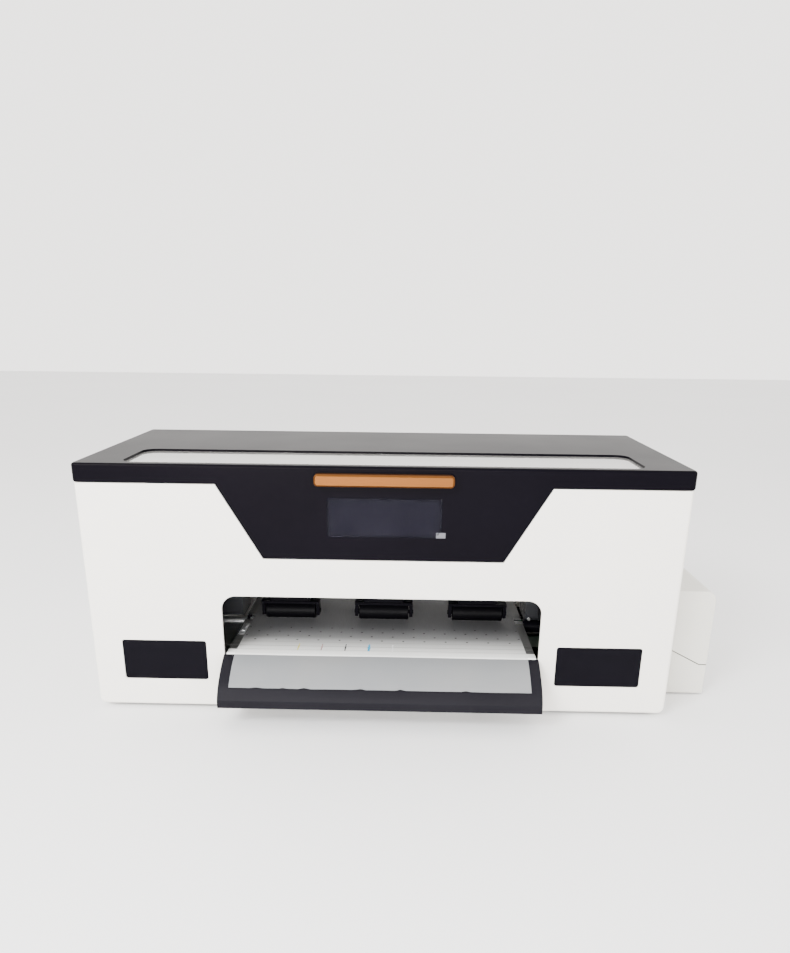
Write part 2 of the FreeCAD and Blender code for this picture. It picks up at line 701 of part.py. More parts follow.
def toothed_pulley(radius, width, bore):
    """A belt pulley on the Z axis with shallow teeth and two rims."""
    body = rod("z", radius, 0, width, 0, 0)
    teeth = []
    count = int(2 * math.pi * radius / 3.0)
    for i in range(count):
        tooth = rod("z", 0.7, -1, width + 1, radius, 0)
        tooth.rotate(Vector(0, 0, 0), Vector(0, 0, 1), i * 360.0 / count)
        teeth.append(tooth)
    return cut(body, *teeth, rod("z", bore, -1, width + 1, 0, 0))


def along_x(shape, x, y, z):
    """Lay a shape built on the Z axis along X."""
    return placed(shape, Vector(x, y, z), (Vector(0, 1, 0), 90))


def belt_loop(r1, r2, c1, c2, width):
    """A flat belt in the XY plane round two pulleys of radii r1 and r2, a running gap clear of them."""
    def band(grow):
        big, small = r1 + grow, r2 + grow
        run = c2 - c1
        base = math.atan2(run.y, run.x)
        lean = math.acos((big - small) / run.Length)
        points = []
        for sign in (1, -1):
            a = base + sign * lean
            points.append((c1 + Vector(math.cos(a), math.sin(a), 0) * big,
                           c2 + Vector(math.cos(a), math.sin(a), 0) * small))
        hull = Part.makePolygon([points[0][0], points[0][1], points[1][1], points[1][0], points[0][0]])
        middle = Part.Face(hull).extrude(Vector(0, 0, width))
        ends = [Part.makeCylinder(r, width, c) for r, c in ((big, c1), (small, c2))]
        return fuse(middle, *ends)

    return band(RUN + BELT_T).cut(band(RUN))


def feed_motor():
    half = MOTOR_SIZE / 2
    y, z = FEED_MOTOR_Y, FEED_MOTOR_Z
    body = box(-FRAME_X, -FRAME_X + MOTOR_LEN, y - half, y + half, z - half, z + half)
    return rounded(body, "x", 4.0)


def feed_motor_pulley():
    pulley = toothed_pulley(MOTOR_PULLEY_R, PULLEY_W, MOTOR_SHAFT_R - 0.5)
    pulley = along_x(pulley, PULLEY_X, FEED_MOTOR_Y, FEED_MOTOR_Z)
    shaft = rod("x", MOTOR_SHAFT_R, PULLEY_X, -FRAME_X - CLEAR, FEED_MOTOR_Y, FEED_MOTOR_Z)
    return fuse(pulley, shaft)


def feed_belt():
    """Built flat with its first axis along X, then stood up against the left frame."""
    big = Vector(GRIT_Y, GRIT_Z, 0)
    small = Vector(FEED_MOTOR_Y, FEED_MOTOR_Z, 0)
    loop = belt_loop(FEED_PULLEY_R, MOTOR_PULLEY_R, big, small, PULLEY_W - 1)
    matrix = FreeCAD.Matrix(0, 0, 1, PULLEY_X + 0.5, 1, 0, 0, 0, 0, 1, 0, 0, 0, 0, 0, 1)
    return loop.transformGeometry(matrix)


def pinch_roller(x):
    tyre = rod("x", PINCH_R, x - PINCH_LEN / 2, x + PINCH_LEN / 2, GRIT_Y, PINCH_Z)
    tyre = tyre.makeFillet(1.0, [e for e in tyre.Edges if e.Curve.TypeId == "Part::GeomCircle"])
    axle = rod("x", PINCH_AXLE_R, x - PINCH_HUB_HALF - 1, x + PINCH_HUB_HALF + 1, GRIT_Y, PINCH_Z)
    return fuse(tyre, axle)


def pinch_arm(x):
    """A fork over one roller, carried back to the lift shaft."""
    cheek = PINCH_LEN / 2 + 1.0
    top = PINCH_Z + PINCH_R + 1.0
    front = GRIT_Y - 9
    parts = [box(x - ARM_W / 2, x + ARM_W / 2, front + 2, PIVOT_Y, top, top + ARM_T)]
    parts.append(box(x - PINCH_HUB_HALF, x + PINCH_HUB_HALF, front, GRIT_Y + 9, top, top + 3))
    for side in (-1, 1):
        ends = sorted((x + side * cheek, x + side * PINCH_HUB_HALF))
        parts.append(box(ends[0], ends[1], GRIT_Y - 6, GRIT_Y + 6, PINCH_Z - 5, top))
    parts.append(rod("x", PIVOT_R + 4, x - ARM_W / 2, x + ARM_W / 2, PIVOT_Y, PIVOT_Z))
    arm = fuse(*parts)
    arm = arm.cut(rod("x", PINCH_AXLE_R + RUN, x - 50, x + 50, GRIT_Y, PINCH_Z))
    return arm.cut(rod("x", PIVOT_R, x - 50, x + 50, PIVOT_Y, PIVOT_Z))


def lift_shaft():
    shaft = rod("x", PIVOT_R, -FRAME_X + CLEAR, FRAME_X - CLEAR, PIVOT_Y, PIVOT_Z)
    ends = rod("x", PIVOT_R - 1, -FRAME_X - FRAME_T, FRAME_X + FRAME_T, PIVOT_Y, PIVOT_Z)
    lever = box(LEVER_X - 6, LEVER_X + 6, PIVOT_Y + 1, PIVOT_Y + 5, PIVOT_Z, PIVOT_Z + LEVER_LEN)
    knob = rod("y", 11, PIVOT_Y - 3, PIVOT_Y + 9, LEVER_X, PIVOT_Z + LEVER_LEN)
    knob = knob.makeFillet(2.5, [e for e in knob.Edges if e.Curve.TypeId == "Part::GeomCircle"])
    collar = rod("x", PIVOT_R + 4, LEVER_X - 8, LEVER_X + 8, PIVOT_Y, PIVOT_Z)
    return fuse(shaft, ends, lever, knob, collar)


def pinch_spring(x):
    """A short coil between the arm and the beam, at its working height."""
    base = PINCH_Z + PINCH_R + 1.0 + ARM_T
    helix = Part.makeLongHelix(SPRING_H / 4.5, SPRING_H - 2 * SPRING_WIRE, SPRING_R)
    section = Part.Wire(Part.makeCircle(SPRING_WIRE, Vector(SPRING_R, 0, 0), Vector(0, 1, 0)))
    coil = Part.Wire(helix.Edges).makePipeShell([section], True, True)
    return placed(coil, Vector(x, GRIT_Y + 13, base + SPRING_WIRE))


# ---- frames, beam and carriage --------------------------------------------------------------
def side_frame(side):
    x = sorted((side * FRAME_X, side * (FRAME_X + FRAME_T)))
    outline = [(FRAME_FRONT, DECK_Z), (FRAME_BACK, DECK_Z), (FRAME_BACK, FRAME_SHOULDER),
               (BEAM_Y + BEAM_D + 6, FRAME_TOP), (BEAM_Y - 10, FRAME_TOP), (FRAME_FRONT, FRAME_NOSE)]
    plate = prism_x(outline, x[0], x[1])
    ends = (x[0] - 1, x[1] + 1)
    tools = [rod("x", JOURNAL_R + RUN, *ends, GRIT_Y, GRIT_Z)]
    tools.append(rod("x", PIVOT_R - 1 + RUN, *ends, PIVOT_Y, PIVOT_Z))
    if side < 0:
        tools.append(rod("x", MOTOR_SHAFT_R + 1, *ends, FEED_MOTOR_Y, FEED_MOTOR_Z))
    foot_x = sorted((side * FRAME_X, side * (FRAME_X - 14)))
    foot = box(foot_x[0], foot_x[1], FRAME_FRONT, FRAME_BACK, DECK_Z, FLOOR_Z + 4.5)
    if side < 0:
        foot = foot.cut(box(-400, 400, FEED_MOTOR_Y - 25, FEED_MOTOR_Y + 25, 0, 60))
    return fuse(cut(plate, *tools), foot)


def x_beam():
    outer = box(-FRAME_X, FRAME_X, BEAM_Y, BEAM_Y + BEAM_D, BEAM_Z, BEAM_Z + BEAM_H)
    outer = rounded(outer, "x", 1.5)
    inner = box(-FRAME_X - 1, FRAME_X + 1, BEAM_Y + BEAM_WALL, BEAM_Y + BEAM_D - BEAM_WALL,
                BEAM_Z + BEAM_WALL, BEAM_Z + BEAM_H - BEAM_WALL)
    groove = box(-FRAME_X - 1, FRAME_X + 1, BEAM_Y - 1, BEAM_Y + 1.2, BEAM_Z + 4, BEAM_Z + 7)
    pin = rod("z", 2.0, BEAM_Z + BEAM_H - 1, BELT_Z + BELT_W + 4, X_IDLER_IN, BELT_Y)
    seat = rod("z", 5.0, BEAM_Z + BEAM_H - 1, BELT_Z - CLEAR, X_IDLER_IN, BELT_Y)
    return fuse(cut(outer, inner, groove), pin, seat)


def linear_rail():
    half = RAIL_W / 2
    rail = box(-FRAME_X + 4, FRAME_X - 4, BEAM_Y - RAIL_H, BEAM_Y, RAIL_Z - half, RAIL_Z + half)
    return rounded(rail, "x", 0.8)


def x_motor():
    half = MOTOR_SIZE / 2
    x = -X_MOTOR_IN
    plate_z = BELT_Z + BELT_W + 3
    plate = box(-FRAME_X, x + half + 2, BELT_Y - half - 1, BELT_Y + half + 1, plate_z, plate_z + 2)
    leg = box(-FRAME_X, -FRAME_X + 3, BEAM_Y + 2, BEAM_Y + BEAM_D - 2, BEAM_Z + BEAM_H, plate_z + 1)
    body_z = (plate_z + 2, plate_z + 2 + MOTOR_LEN)
    body = rounded(box(x - half, x + half, BELT_Y - half, BELT_Y + half, *body_z), "z", 4.0)
    return fuse(plate, leg, body).cut(rod("z", MOTOR_SHAFT_R + 1, 0, plate_z + 6, x, BELT_Y))


def belt_pulley(x, shaft_top):
    pulley = toothed_pulley(BELT_PULLEY_R, BELT_W + 1.0, 2.0 + RUN)
    pulley = placed(pulley, Vector(x, BELT_Y, BELT_Z - 0.5 + CLEAR))
    if not shaft_top:
        return pulley
    return fuse(pulley, rod("z", MOTOR_SHAFT_R, BELT_Z + 1, shaft_top, x, BELT_Y))


def x_belt():
    left = Vector(-X_MOTOR_IN, BELT_Y, BELT_Z + CLEAR)
    right = Vector(X_IDLER_IN, BELT_Y, BELT_Z + CLEAR)
    return belt_loop(BELT_PULLEY_R, BELT_PULLEY_R, left, right, BELT_W)


def carriage_body():
    """The open cradle, its slide block round the rail and the clamp that holds the belt."""
    x0, x1 = CARRIAGE_X - CARRIAGE_W / 2, CARRIAGE_X + CARRIAGE_W / 2
    w = CARRIAGE_WALL
    outer = rounded(box(x0, x1, CARRIAGE_FRONT, CARRIAGE_BACK, CARRIAGE_Z, CARRIAGE_TOP), "z", 5.0)
    inner = box(x0 + w, x1 - w, CARRIAGE_FRONT + w, CARRIAGE_BACK - w, CARRIAGE_Z + w, CARRIAGE_TOP + 1)
    head_x = (CARRIAGE_X - HEAD_W / 2, CARRIAGE_X + HEAD_W / 2)
    head = box(*head_x, HEAD_FRONT, HEAD_FRONT + HEAD_D, 0, CARRIAGE_Z + 10)
    lamp = box(x0 + 8, x0 + 8 + LAMP_W, HEAD_FRONT - 5, HEAD_FRONT + HEAD_D + 3, 0, CARRIAGE_Z + 10)
    cradle = cut(outer, inner, head, lamp)
    block = box(CARRIAGE_X - BLOCK_L / 2, CARRIAGE_X + BLOCK_L / 2, CARRIAGE_BACK - 1, BEAM_Y - 2,
                RAIL_Z - BLOCK_W / 2, RAIL_Z + BLOCK_W / 2)
    channel = box(x0 - 9, x1 + 9, BEAM_Y - RAIL_H - CLEAR, BEAM_Y, RAIL_Z - RAIL_W / 2 - CLEAR,
                  RAIL_Z + RAIL_W / 2 + CLEAR)
    belt_front = BELT_Y - BELT_PULLEY_R - RUN - BELT_T
    clamp_y = (CARRIAGE_BACK - 1, belt_front - CLEAR)
    clamp = box(CARRIAGE_X - 10, CARRIAGE_X + 10, *clamp_y, BELT_Z + 1, BELT_Z + BELT_W)
    return fuse(cradle, block.cut(channel), clamp)


def print_head():
    x0, x1 = CARRIAGE_X - HEAD_W / 2, CARRIAGE_X + HEAD_W / 2
    body = box(x0, x1, HEAD_FRONT, HEAD_FRONT + HEAD_D, HEAD_Z + 3, CARRIAGE_Z + 14)
    nose = box(x0 + 3, x1 - 3, HEAD_FRONT + 4, HEAD_FRONT + HEAD_D - 4, HEAD_Z, HEAD_Z + 3)
    return fuse(body, nose)


def damper_places():
    places = []
    for i in range(DAMPERS):
        column = (i % 2 - 0.5) * DAMPER_PITCH_X
        places.append((CARRIAGE_X + column, HEAD_FRONT + 6 + (i // 2) * DAMPER_PITCH_Y))
    return places


def ink_dampers():
    found = []
    for x, y in damper_places():
        case = box(x - 9, x + 9, y, y + 10, CARRIAGE_Z + 14, CARRIAGE_Z + 48)
        spigot = rod("z", 2.5, CARRIAGE_Z + 47, CARRIAGE_Z + 54, x, y + 5)
        found.append(fuse(rounded(case, "z", 2.0), spigot))
    return found


def uv_lamp():
    x0 = CARRIAGE_X - CARRIAGE_W / 2 + 8
    body = box(x0, x0 + LAMP_W, HEAD_FRONT - 5, HEAD_FRONT + HEAD_D + 3, HEAD_Z + 2, CARRIAGE_Z + 40)
    slots = []
    for i in range(4):
        x = x0 + 2 + i * 4.0
        slots.append(box(x, x + 2, HEAD_FRONT, HEAD_FRONT + HEAD_D, CARRIAGE_Z + 30, CARRIAGE_Z + 41))
    return cut(body, *slots)


def end_cover(side):
    """The moulded cover over the roller's end, from the film's edge to the side frame."""
    x = sorted((side * (PLATEN_HALF + 1.5), side * FRAME_X))
    outer = box(x[0], x[1], COVER_FRONT, COVER_BACK, COVER_Z, COVER_TOP)
    outer = rounded(outer, "x", 7.0, lambda p: p.y < COVER_FRONT + 1)
    wall = COVER_WALL
    x0, x1 = x[0] + wall, x[1] - wall
    inner = box(x0, x1, COVER_FRONT + wall, COVER_BACK + 1, COVER_Z + wall, COVER_TOP - wall)
    lever = box(LEVER_X - 12, LEVER_X + 12, PIVOT_Y - 12, COVER_BACK + 1, COVER_Z - 1, COVER_TOP + 1)
    shaft = rod("x", PIVOT_R + 1, -400, 400, PIVOT_Y, PIVOT_Z)
    return cut(outer, inner, lever, shaft)


# ---- capping station ------------------------------------------------------------------------
def capping_base():
    x0, x1 = CARRIAGE_X - 42, CARRIAGE_X + 42
    low = DECK_Z
    body = box(x0, x1, HEAD_FRONT - 10, HEAD_FRONT + HEAD_D + 10, low, CAP_BASE_TOP)
    body = rounded(body, "z", 4.0)
    half = CAP_STEM / 2 + CLEAR
    mid = HEAD_FRONT + HEAD_D / 2
    well = box(CARRIAGE_X - half, CARRIAGE_X + half, mid - half, mid + half, low + 4, CAP_BASE_TOP + 1)
    return body.cut(well)


def cap_block():
    top = HEAD_Z - CLEAR
    x0, x1 = CARRIAGE_X - HEAD_W / 2, CARRIAGE_X + HEAD_W / 2
    body = box(x0, x1, HEAD_FRONT, HEAD_FRONT + HEAD_D, top - CAP_H, top)
    body = rounded(body, "z", 3.0)
    hollow = box(x0 + 4, x1 - 4, HEAD_FRONT + 5, HEAD_FRONT + HEAD_D - 5, top - 6, top + 1)
    hollow = rounded(hollow, "z", 3.0)
    mid = HEAD_FRONT + HEAD_D / 2
    stem_z = CAP_BASE_TOP - CAP_LIFT - 6
    half = CAP_STEM / 2
    stem = box(CARRIAGE_X - half, CARRIAGE_X + half, mid - half, mid + half, stem_z, top - CAP_H + 1)
    arm = box(x0 - 12, x0 + 1, HEAD_FRONT + 2, HEAD_FRONT + HEAD_D - 2, top - CAP_H, top - CAP_H + 4)
    return fuse(cut(body, hollow), stem, arm)


def wiper_blade():
    x = CARRIAGE_X - HEAD_W / 2 - 9
    low = HEAD_Z - CLEAR - CAP_H + 4
    return box(x - 0.8, x + 0.8, HEAD_FRONT + 3, HEAD_FRONT + HEAD_D - 3, low, HEAD_Z - CLEAR)


# ---- side ink box ---------------------------------------------------------------------------
def ink_box_solid(inset):
    """The side box's outer form, or with an inset the space inside its walls."""
    x0, x1 = BOX_X + inset, BOX_OUT - inset
    solid = box(x0, x1, BOX_FRONT + inset, BOX_BACK - inset, BOX_Z + inset, BOX_TOP - inset)

    def upper_outer(point):
        return point.z > BOX_TOP - inset - 1 and point.x > x1 - 1

    return rounded(solid, "y", BOX_EDGE_R - inset, upper_outer)


def below_seam(drop):
    """Everything under the line where the cover meets the tray, lowered by a gap."""
    low = -50.0
    seam_out = BOX_SEAM_OUT - drop
    seam_in = BOX_SEAM_IN - drop
    outline = [(BOX_X - 20, low), (BOX_OUT + 20, low), (BOX_OUT + 20, seam_out),
               (BOX_OUT - BOX_SEAM_FLAT, seam_out), (BOX_X, seam_in), (BOX_X - 20, seam_in)]
    return prism_y(outline, BOX_FRONT - 10, BOX_BACK + 10)


def side_tray():
    shell = ink_box_solid(0).cut(ink_box_solid(BOX_WALL))
    tray = shell.common(below_seam(SEAM))
    wall_top = BOX_PIN_Z - math.hypot(BOX_SKIN_IN, BOX_HINGE_DOWN) - CLEAR
    ends = BOX_WALL + SEAM
    wall = box(BOX_X, BOX_X + BOX_WALL, BOX_FRONT + ends, BOX_BACK - ends, BOX_Z, wall_top)
    knuckles = []
    for y in box_hinges():
        knuckles.append(rod("y", BOX_PIN_R, y - 20, y + 20, BOX_PIN_X, BOX_PIN_Z))
        for y0, y1 in ((y - 20, y - 7 - CLEAR), (y + 7 + CLEAR, y + 20)):
            knuckles.append(rod("y", BOX_HINGE_R, y0, y1, BOX_PIN_X, BOX_PIN_Z))
            knuckles.append(box(BOX_X, BOX_PIN_X, y0, y1, wall_top - 1, BOX_PIN_Z - 0.2))
    return fuse(tray, wall, *knuckles)


def box_hinges():
    return (BOX_FRONT + 30, BOX_BACK - 30)


def side_cover_lid():
    """The flip-up cover of the ink box: top, outer wall and both ends down to the seam."""
    skin_x = BOX_PIN_X - BOX_SKIN_IN
    y = (BOX_FRONT - 1, BOX_BACK + 1)
    shell = ink_box_solid(0).cut(ink_box_solid(BOX_WALL))
    tools = [below_seam(0), box(BOX_X - 1, BOX_X + BOX_WALL + CLEAR, *y, 0, BOX_TOP - BOX_WALL),
             box(BOX_X - 1, skin_x, *y, 0, BOX_TOP + 1),
             rod("y", BOX_HINGE_R + SEAM, BOX_FRONT + BOX_WALL, BOX_BACK - BOX_WALL, BOX_PIN_X, BOX_PIN_Z)]
    knuckles = []
    bores = []
    for y in box_hinges():
        tools.append(box(BOX_X, BOX_PIN_X + 1, y - 20 - CLEAR, y - 7, BOX_PIN_Z - 10, BOX_TOP + 1))
        tools.append(box(BOX_X, BOX_PIN_X + 1, y + 7, y + 20 + CLEAR, BOX_PIN_Z - 10, BOX_TOP + 1))
        knuckles.append(rod("y", BOX_HINGE_R, y - 7, y + 7, BOX_PIN_X, BOX_PIN_Z))
        knuckles.append(box(BOX_PIN_X - 2, BOX_PIN_X + 2, y - 7, y + 7, BOX_PIN_Z, BOX_TOP - 0.5))
        bores.append(rod("y", BOX_PIN_R + RUN, y - 8, y + 8, BOX_PIN_X, BOX_PIN_Z))
    cover = cut(shell, *tools)
    return cut(fuse(cover, *knuckles), *bores)


def tank_places():
    first = BOX_FRONT + BOX_LEN / 2 - TANK_PITCH * (TANKS - 1) / 2
    return [first + i * TANK_PITCH for i in range(TANKS)]


def ink_tank(y):
    x0, x1 = BOX_X + TANK_IN, BOX_OUT - TANK_OUT
    low = BOX_Z + BOX_WALL
    half = TANK_W / 2
    hollow = half - TANK_WALL
    body = rounded(box(x0, x1, y - half, y + half, low, low + TANK_H), "z", 3.0)
    inner = box(x0 + TANK_WALL, x1 - TANK_WALL, y - hollow, y + hollow, low + TANK_WALL,
                low + TANK_H - TANK_WALL)
    neck_x = (x0 + x1) / 2
    neck = rod("z", TANK_CAP_R - 2.5, low + TANK_H - 1, low + TANK_H + 5, neck_x, y)
    bore = rod("z", TANK_CAP_R - 4, low + TANK_H - 3, low + TANK_H + 6, neck_x, y)
    return cut(fuse(body, neck), inner, bore)


def tank_cap(y):
    x = (BOX_X + TANK_IN + BOX_OUT - TANK_OUT) / 2
    low = BOX_Z + BOX_WALL + TANK_H
    cap = rod("z", TANK_CAP_R, low, low + TANK_CAP_H, x, y)
    cap = cap.makeFillet(1.5, [e for e in cap.Edges if e.BoundBox.ZMin > low + 1])
    return cap.cut(rod("z", TANK_CAP_R - 2.5, low - 1, low + 5, x, y))


# ---- electrics ------------------------------------------------------------------------------
def power_supply():
    x0, x1 = SUPPLY_X
    y0, y1 = SUPPLY_Y
    base = box(x0, x1, y0, y1, DECK_Z, DECK_Z + 12)
    case = box(x0, x0 + 38, y0, y0 + 60, DECK_Z, DECK_Z + SUPPLY_H)
    block = box(x0 + 45, x1 - 6, y0 + 5, y1 - 30, DECK_Z, DECK_Z + SUPPLY_H - 2)
    return fuse(base, case, block)


def main_board():
    """The controller board on its standoffs, with chips, a heat sink and the port at the back."""
    x0, x1 = BOARD_X
    front = BOARD_FRONT
    board = box(x0, x1, front, BODY_D - 8, DECK_Z + BOARD_UP, PORT_Z)
    corners = [(x, y) for x in (x0 + 6, x1 - 6) for y in (front + 6, BODY_D - 16)]
    posts = [rod("z", 2.5, DECK_Z, DECK_Z + BOARD_UP, x, y) for x, y in corners]
    processor = box(x0 + 26, x0 + 48, front + 40, front + 62, PORT_Z, PORT_Z + 3)
    heat_sink = box(x1 - 50, x1 - 20, front + 20, front + 36, PORT_Z, PORT_Z + 12)
    header = box(x0 + 10, x0 + 18, front + 10, front + 90, PORT_Z, PORT_Z + 8)
    drivers = box(x1 - 38, x1 - 10, front + 50, front + 90, PORT_Z, PORT_Z + 6)
    chips = [processor, heat_sink, header, drivers]
    half = PORT_W / 2
    port = box(PORT_X - half, PORT_X + half, BODY_D - 18, BODY_D + CLEAR, PORT_Z, PORT_Z + PORT_H)
    half -= 2.8
    z0, z1 = PORT_Z + 1.5, PORT_Z + PORT_H - 1.5
    mouth = box(PORT_X - half, PORT_X + half, BODY_D - 10, BODY_D + 1, z0, z1)
    return fuse(board, *posts, *chips, port.cut(mouth))


def power_inlet():
    x0, x1 = INLET_X - INLET_W / 2, INLET_X + INLET_W / 2
    z0, z1 = INLET_Z - INLET_H / 2, INLET_Z + INLET_H / 2
    flange = rounded(box(x0, x1, BODY_D, BODY_D + 1.8, z0, z1), "y", 3.0)
    body = box(x0 + 2.3, x1 - 2.3, BODY_D - 22, BODY_D + 1, z0 + 2.3, z1 - 2.3)
    mouth = [(-12, -8), (12, -8), (12, 3), (7, 8), (-7, 8), (-12, 3)]
    outline = [(INLET_X + dx, INLET_Z + dz) for dx, dz in mouth]
    socket = prism_y(outline, BODY_D - 14, BODY_D + 3)
    pins = []
    for dx, dz in ((-7, -3), (0, 2), (7, -3)):
        x, z = INLET_X + dx, INLET_Z + dz
        pins.append(box(x - 1, x + 1, BODY_D - 15, BODY_D - 1, z - 2, z + 2))
    return fuse(fuse(flange, body).cut(socket), *pins)


def rocker_bezel():
    """The rocker switch's fixed housing, beside the inlet."""
    x = ROCKER_X
    w, h = ROCKER_W / 2, ROCKER_H / 2
    z = INLET_Z
    ring = box(INLET_X + INLET_W / 2 - 4, x + w + 3, BODY_D, BODY_D + 1.8, z - h - 3, z + h + 3)
    wall = 0.9
    cup = box(x - w - wall, x + w + wall, BODY_D - 18, BODY_D + 1, z - h - wall, z + h + wall)
    hollow = box(x - w - CLEAR, x + w + CLEAR, BODY_D - 9, BODY_D + 2, z - h - CLEAR, z + h + CLEAR)
    pin = rod("x", 1.2, x - w - 0.5, x + w + 0.5, BODY_D - 2.5, INLET_Z)
    return fuse(fuse(rounded(ring, "y", 2.0), cup).cut(hollow), pin)


def power_rocker():
    """A two-way rocker, built level and then tipped to its resting side."""
    x = ROCKER_X
    w, h = ROCKER_W / 2, ROCKER_H / 2 - 0.8
    pivot = Vector(x, BODY_D - 2.5, INLET_Z)
    profile = [(-5.0, -3), (-2.5, -h), (1.6, -h), (0.6, 0), (1.6, h), (-2.5, h), (-5.0, 3)]
    outline = [(BODY_D + dy, INLET_Z + dz) for dy, dz in profile]
    key = prism_x(outline, x - w, x + w)
    key = key.cut(rod("x", 1.2 + RUN, x - w - 1, x + w + 1, BODY_D - 2.5, INLET_Z))
    key.rotate(pivot, Vector(1, 0, 0), ROCKER_TILT)
    return key


def main():
    os.makedirs("parts", exist_ok=True)
    shell = casing_shell()
    save("front_panel", front_panel(shell))
    save("back_panel", back_panel(shell))
    save("left_side_cover", side_cover(shell, -1))
    save("right_side_cover", side_cover(shell, 1))
    save("base_tray", base_tray())
    save("rubber_feet", *feet())
    save("case_screws", *case_screws())
    save("left_blank_panel", blank_panel(-1))
    save("right_blank_panel", blank_panel(1))

    save("lid_shell", lid_shell())
    save("window_panel", window_panel())
    save("handle", handle())
    save("display_glass", display_glass())
    save("display_module", display_module())
    save("lid_hinge_leaves", *lid_hinges())
    save("base_hinge_leaves", *base_hinges())

    save("apron", apron())
    save("vacuum_platen", vacuum_platen())
    save("rear_platen", rear_platen())
    save("vacuum_chamber", vacuum_chamber())
    save("transfer_film", transfer_film())
    vacuum_place = Vector(0, (VACUUM_FRONT + VACUUM_BACK) / 2, PLATEN_Z - PLATEN_T - VACUUM_DROP)
    rear_place = Vector(REAR_FAN_X, BODY_D - WALL, REAR_FAN_Z)
    stand = (Vector(1, 0, 0), -90)
    save("fan_frames", placed(fan_frame(), vacuum_place), placed(fan_frame(), rear_place, stand))
    save("vacuum_fan_rotor", placed(fan_rotor(), vacuum_place))
    save("rear_fan_rotor", placed(fan_rotor(), rear_place, stand))

    save("grit_roller", grit_roller())
    feed_pulley = along_x(toothed_pulley(FEED_PULLEY_R, PULLEY_W, JOURNAL_R), PULLEY_X, GRIT_Y, GRIT_Z)
    save("feed_pulley", feed_pulley)
    save("feed_motor", feed_motor())
    save("feed_motor_pulley", feed_motor_pulley())
    save("feed_belt", feed_belt())
    for name, x in zip(("left", "middle", "right"), PINCH_X):
        save("pinch_roller_" + name, pinch_roller(x))
    save("pinch_arms", *[pinch_arm(x) for x in PINCH_X])
    save("pinch_lift_shaft", lift_shaft())
    save("pinch_springs", *[pinch_spring(x) for x in PINCH_X])

    save("left_side_frame", side_frame(-1))
    save("right_side_frame", side_frame(1))
    save("x_beam", x_beam())
    save("linear_rail", linear_rail())
    save("x_motor", x_motor())
    save("x_motor_pulley", belt_pulley(-X_MOTOR_IN, BELT_Z + BELT_W + 4.5))
    save("x_idler_pulley", belt_pulley(X_IDLER_IN, None))
    save("x_belt", x_belt())
    save("carriage_body", carriage_body())
    save("print_head", print_head())
    save("ink_dampers", *ink_dampers())
    save("uv_lamp", uv_lamp())
    save("left_end_cover", end_cover(-1))
    save("right_end_cover", end_cover(1))

    save("capping_base", capping_base())
    save("cap_block", cap_block())
    save("wiper_blade", wiper_blade())

    save("side_tray", side_tray())
    save("side_cover", side_cover_lid())
    save("ink_tanks", *[ink_tank(y) for y in tank_places()])
    save("ink_tank_caps", *[tank_cap(y) for y in tank_places()])

    save("power_supply", power_supply())
    save("main_board", main_board())
    save("power_inlet", fuse(power_inlet(), rocker_bezel()))
    save("power_rocker", power_rocker())


main()
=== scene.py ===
"""The desktop film printer's finish: films, tubes, inks, small fittings and every material."""

import math
import random

import bpy
from mathutils import Matrix, Vector


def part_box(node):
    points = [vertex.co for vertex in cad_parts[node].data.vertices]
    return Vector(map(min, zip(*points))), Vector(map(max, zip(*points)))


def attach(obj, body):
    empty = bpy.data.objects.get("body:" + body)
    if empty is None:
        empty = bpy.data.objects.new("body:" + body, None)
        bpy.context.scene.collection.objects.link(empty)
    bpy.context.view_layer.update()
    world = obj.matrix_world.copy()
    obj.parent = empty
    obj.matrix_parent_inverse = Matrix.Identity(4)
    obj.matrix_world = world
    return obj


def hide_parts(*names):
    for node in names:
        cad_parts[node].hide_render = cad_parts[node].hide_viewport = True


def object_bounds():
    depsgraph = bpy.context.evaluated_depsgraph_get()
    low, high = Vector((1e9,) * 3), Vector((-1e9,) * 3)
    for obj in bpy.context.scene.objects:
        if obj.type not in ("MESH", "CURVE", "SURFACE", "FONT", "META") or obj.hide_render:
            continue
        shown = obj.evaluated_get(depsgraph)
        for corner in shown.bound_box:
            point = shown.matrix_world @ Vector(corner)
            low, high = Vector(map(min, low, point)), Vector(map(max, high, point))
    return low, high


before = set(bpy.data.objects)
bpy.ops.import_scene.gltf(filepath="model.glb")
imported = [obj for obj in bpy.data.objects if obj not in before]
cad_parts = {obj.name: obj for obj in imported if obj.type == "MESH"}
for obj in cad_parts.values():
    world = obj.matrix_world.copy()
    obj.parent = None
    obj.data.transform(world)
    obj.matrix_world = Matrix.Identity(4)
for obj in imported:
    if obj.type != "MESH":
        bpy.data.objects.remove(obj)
CAD_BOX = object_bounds()

MM = 0.001


# ---- where things are, from the frame ------------------------------
def low(node):
    return Vector(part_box(node)[0])


def high(node):
    return Vector(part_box(node)[1])


def middle(node):
    return (low(node) + high(node)) / 2


MID_X = middle("front_panel").x
FRONT_Y = low("front_panel").y
BACK_Y = high("back_panel").y
PLATEN_TOP = high("vacuum_platen").z
# the ink box seam above the tray's foot, at the outside and at the casing, and its level end
SEAM_OUT_UP = 38.0 * MM
SEAM_IN_UP = 67.0 * MM
SEAM_FLAT = 9.0 * MM
# the platen's vacuum holes and grooves, measured back from the casing's front
HOLE_FIRST = 43.0 * MM
HOLE_PITCH = 25.0 * MM
HOLE_ROW = 12.5 * MM
# the main board above its posts' feet, its thickness, and how deep the data port sits
BOARD_UP = 10.0 * MM
BOARD_T = 1.6 * MM
PORT_DEEP = 18.5 * MM
GROOVES = ((14.0, 1.0), (24.0, 1.6), (36.0, 1.0))


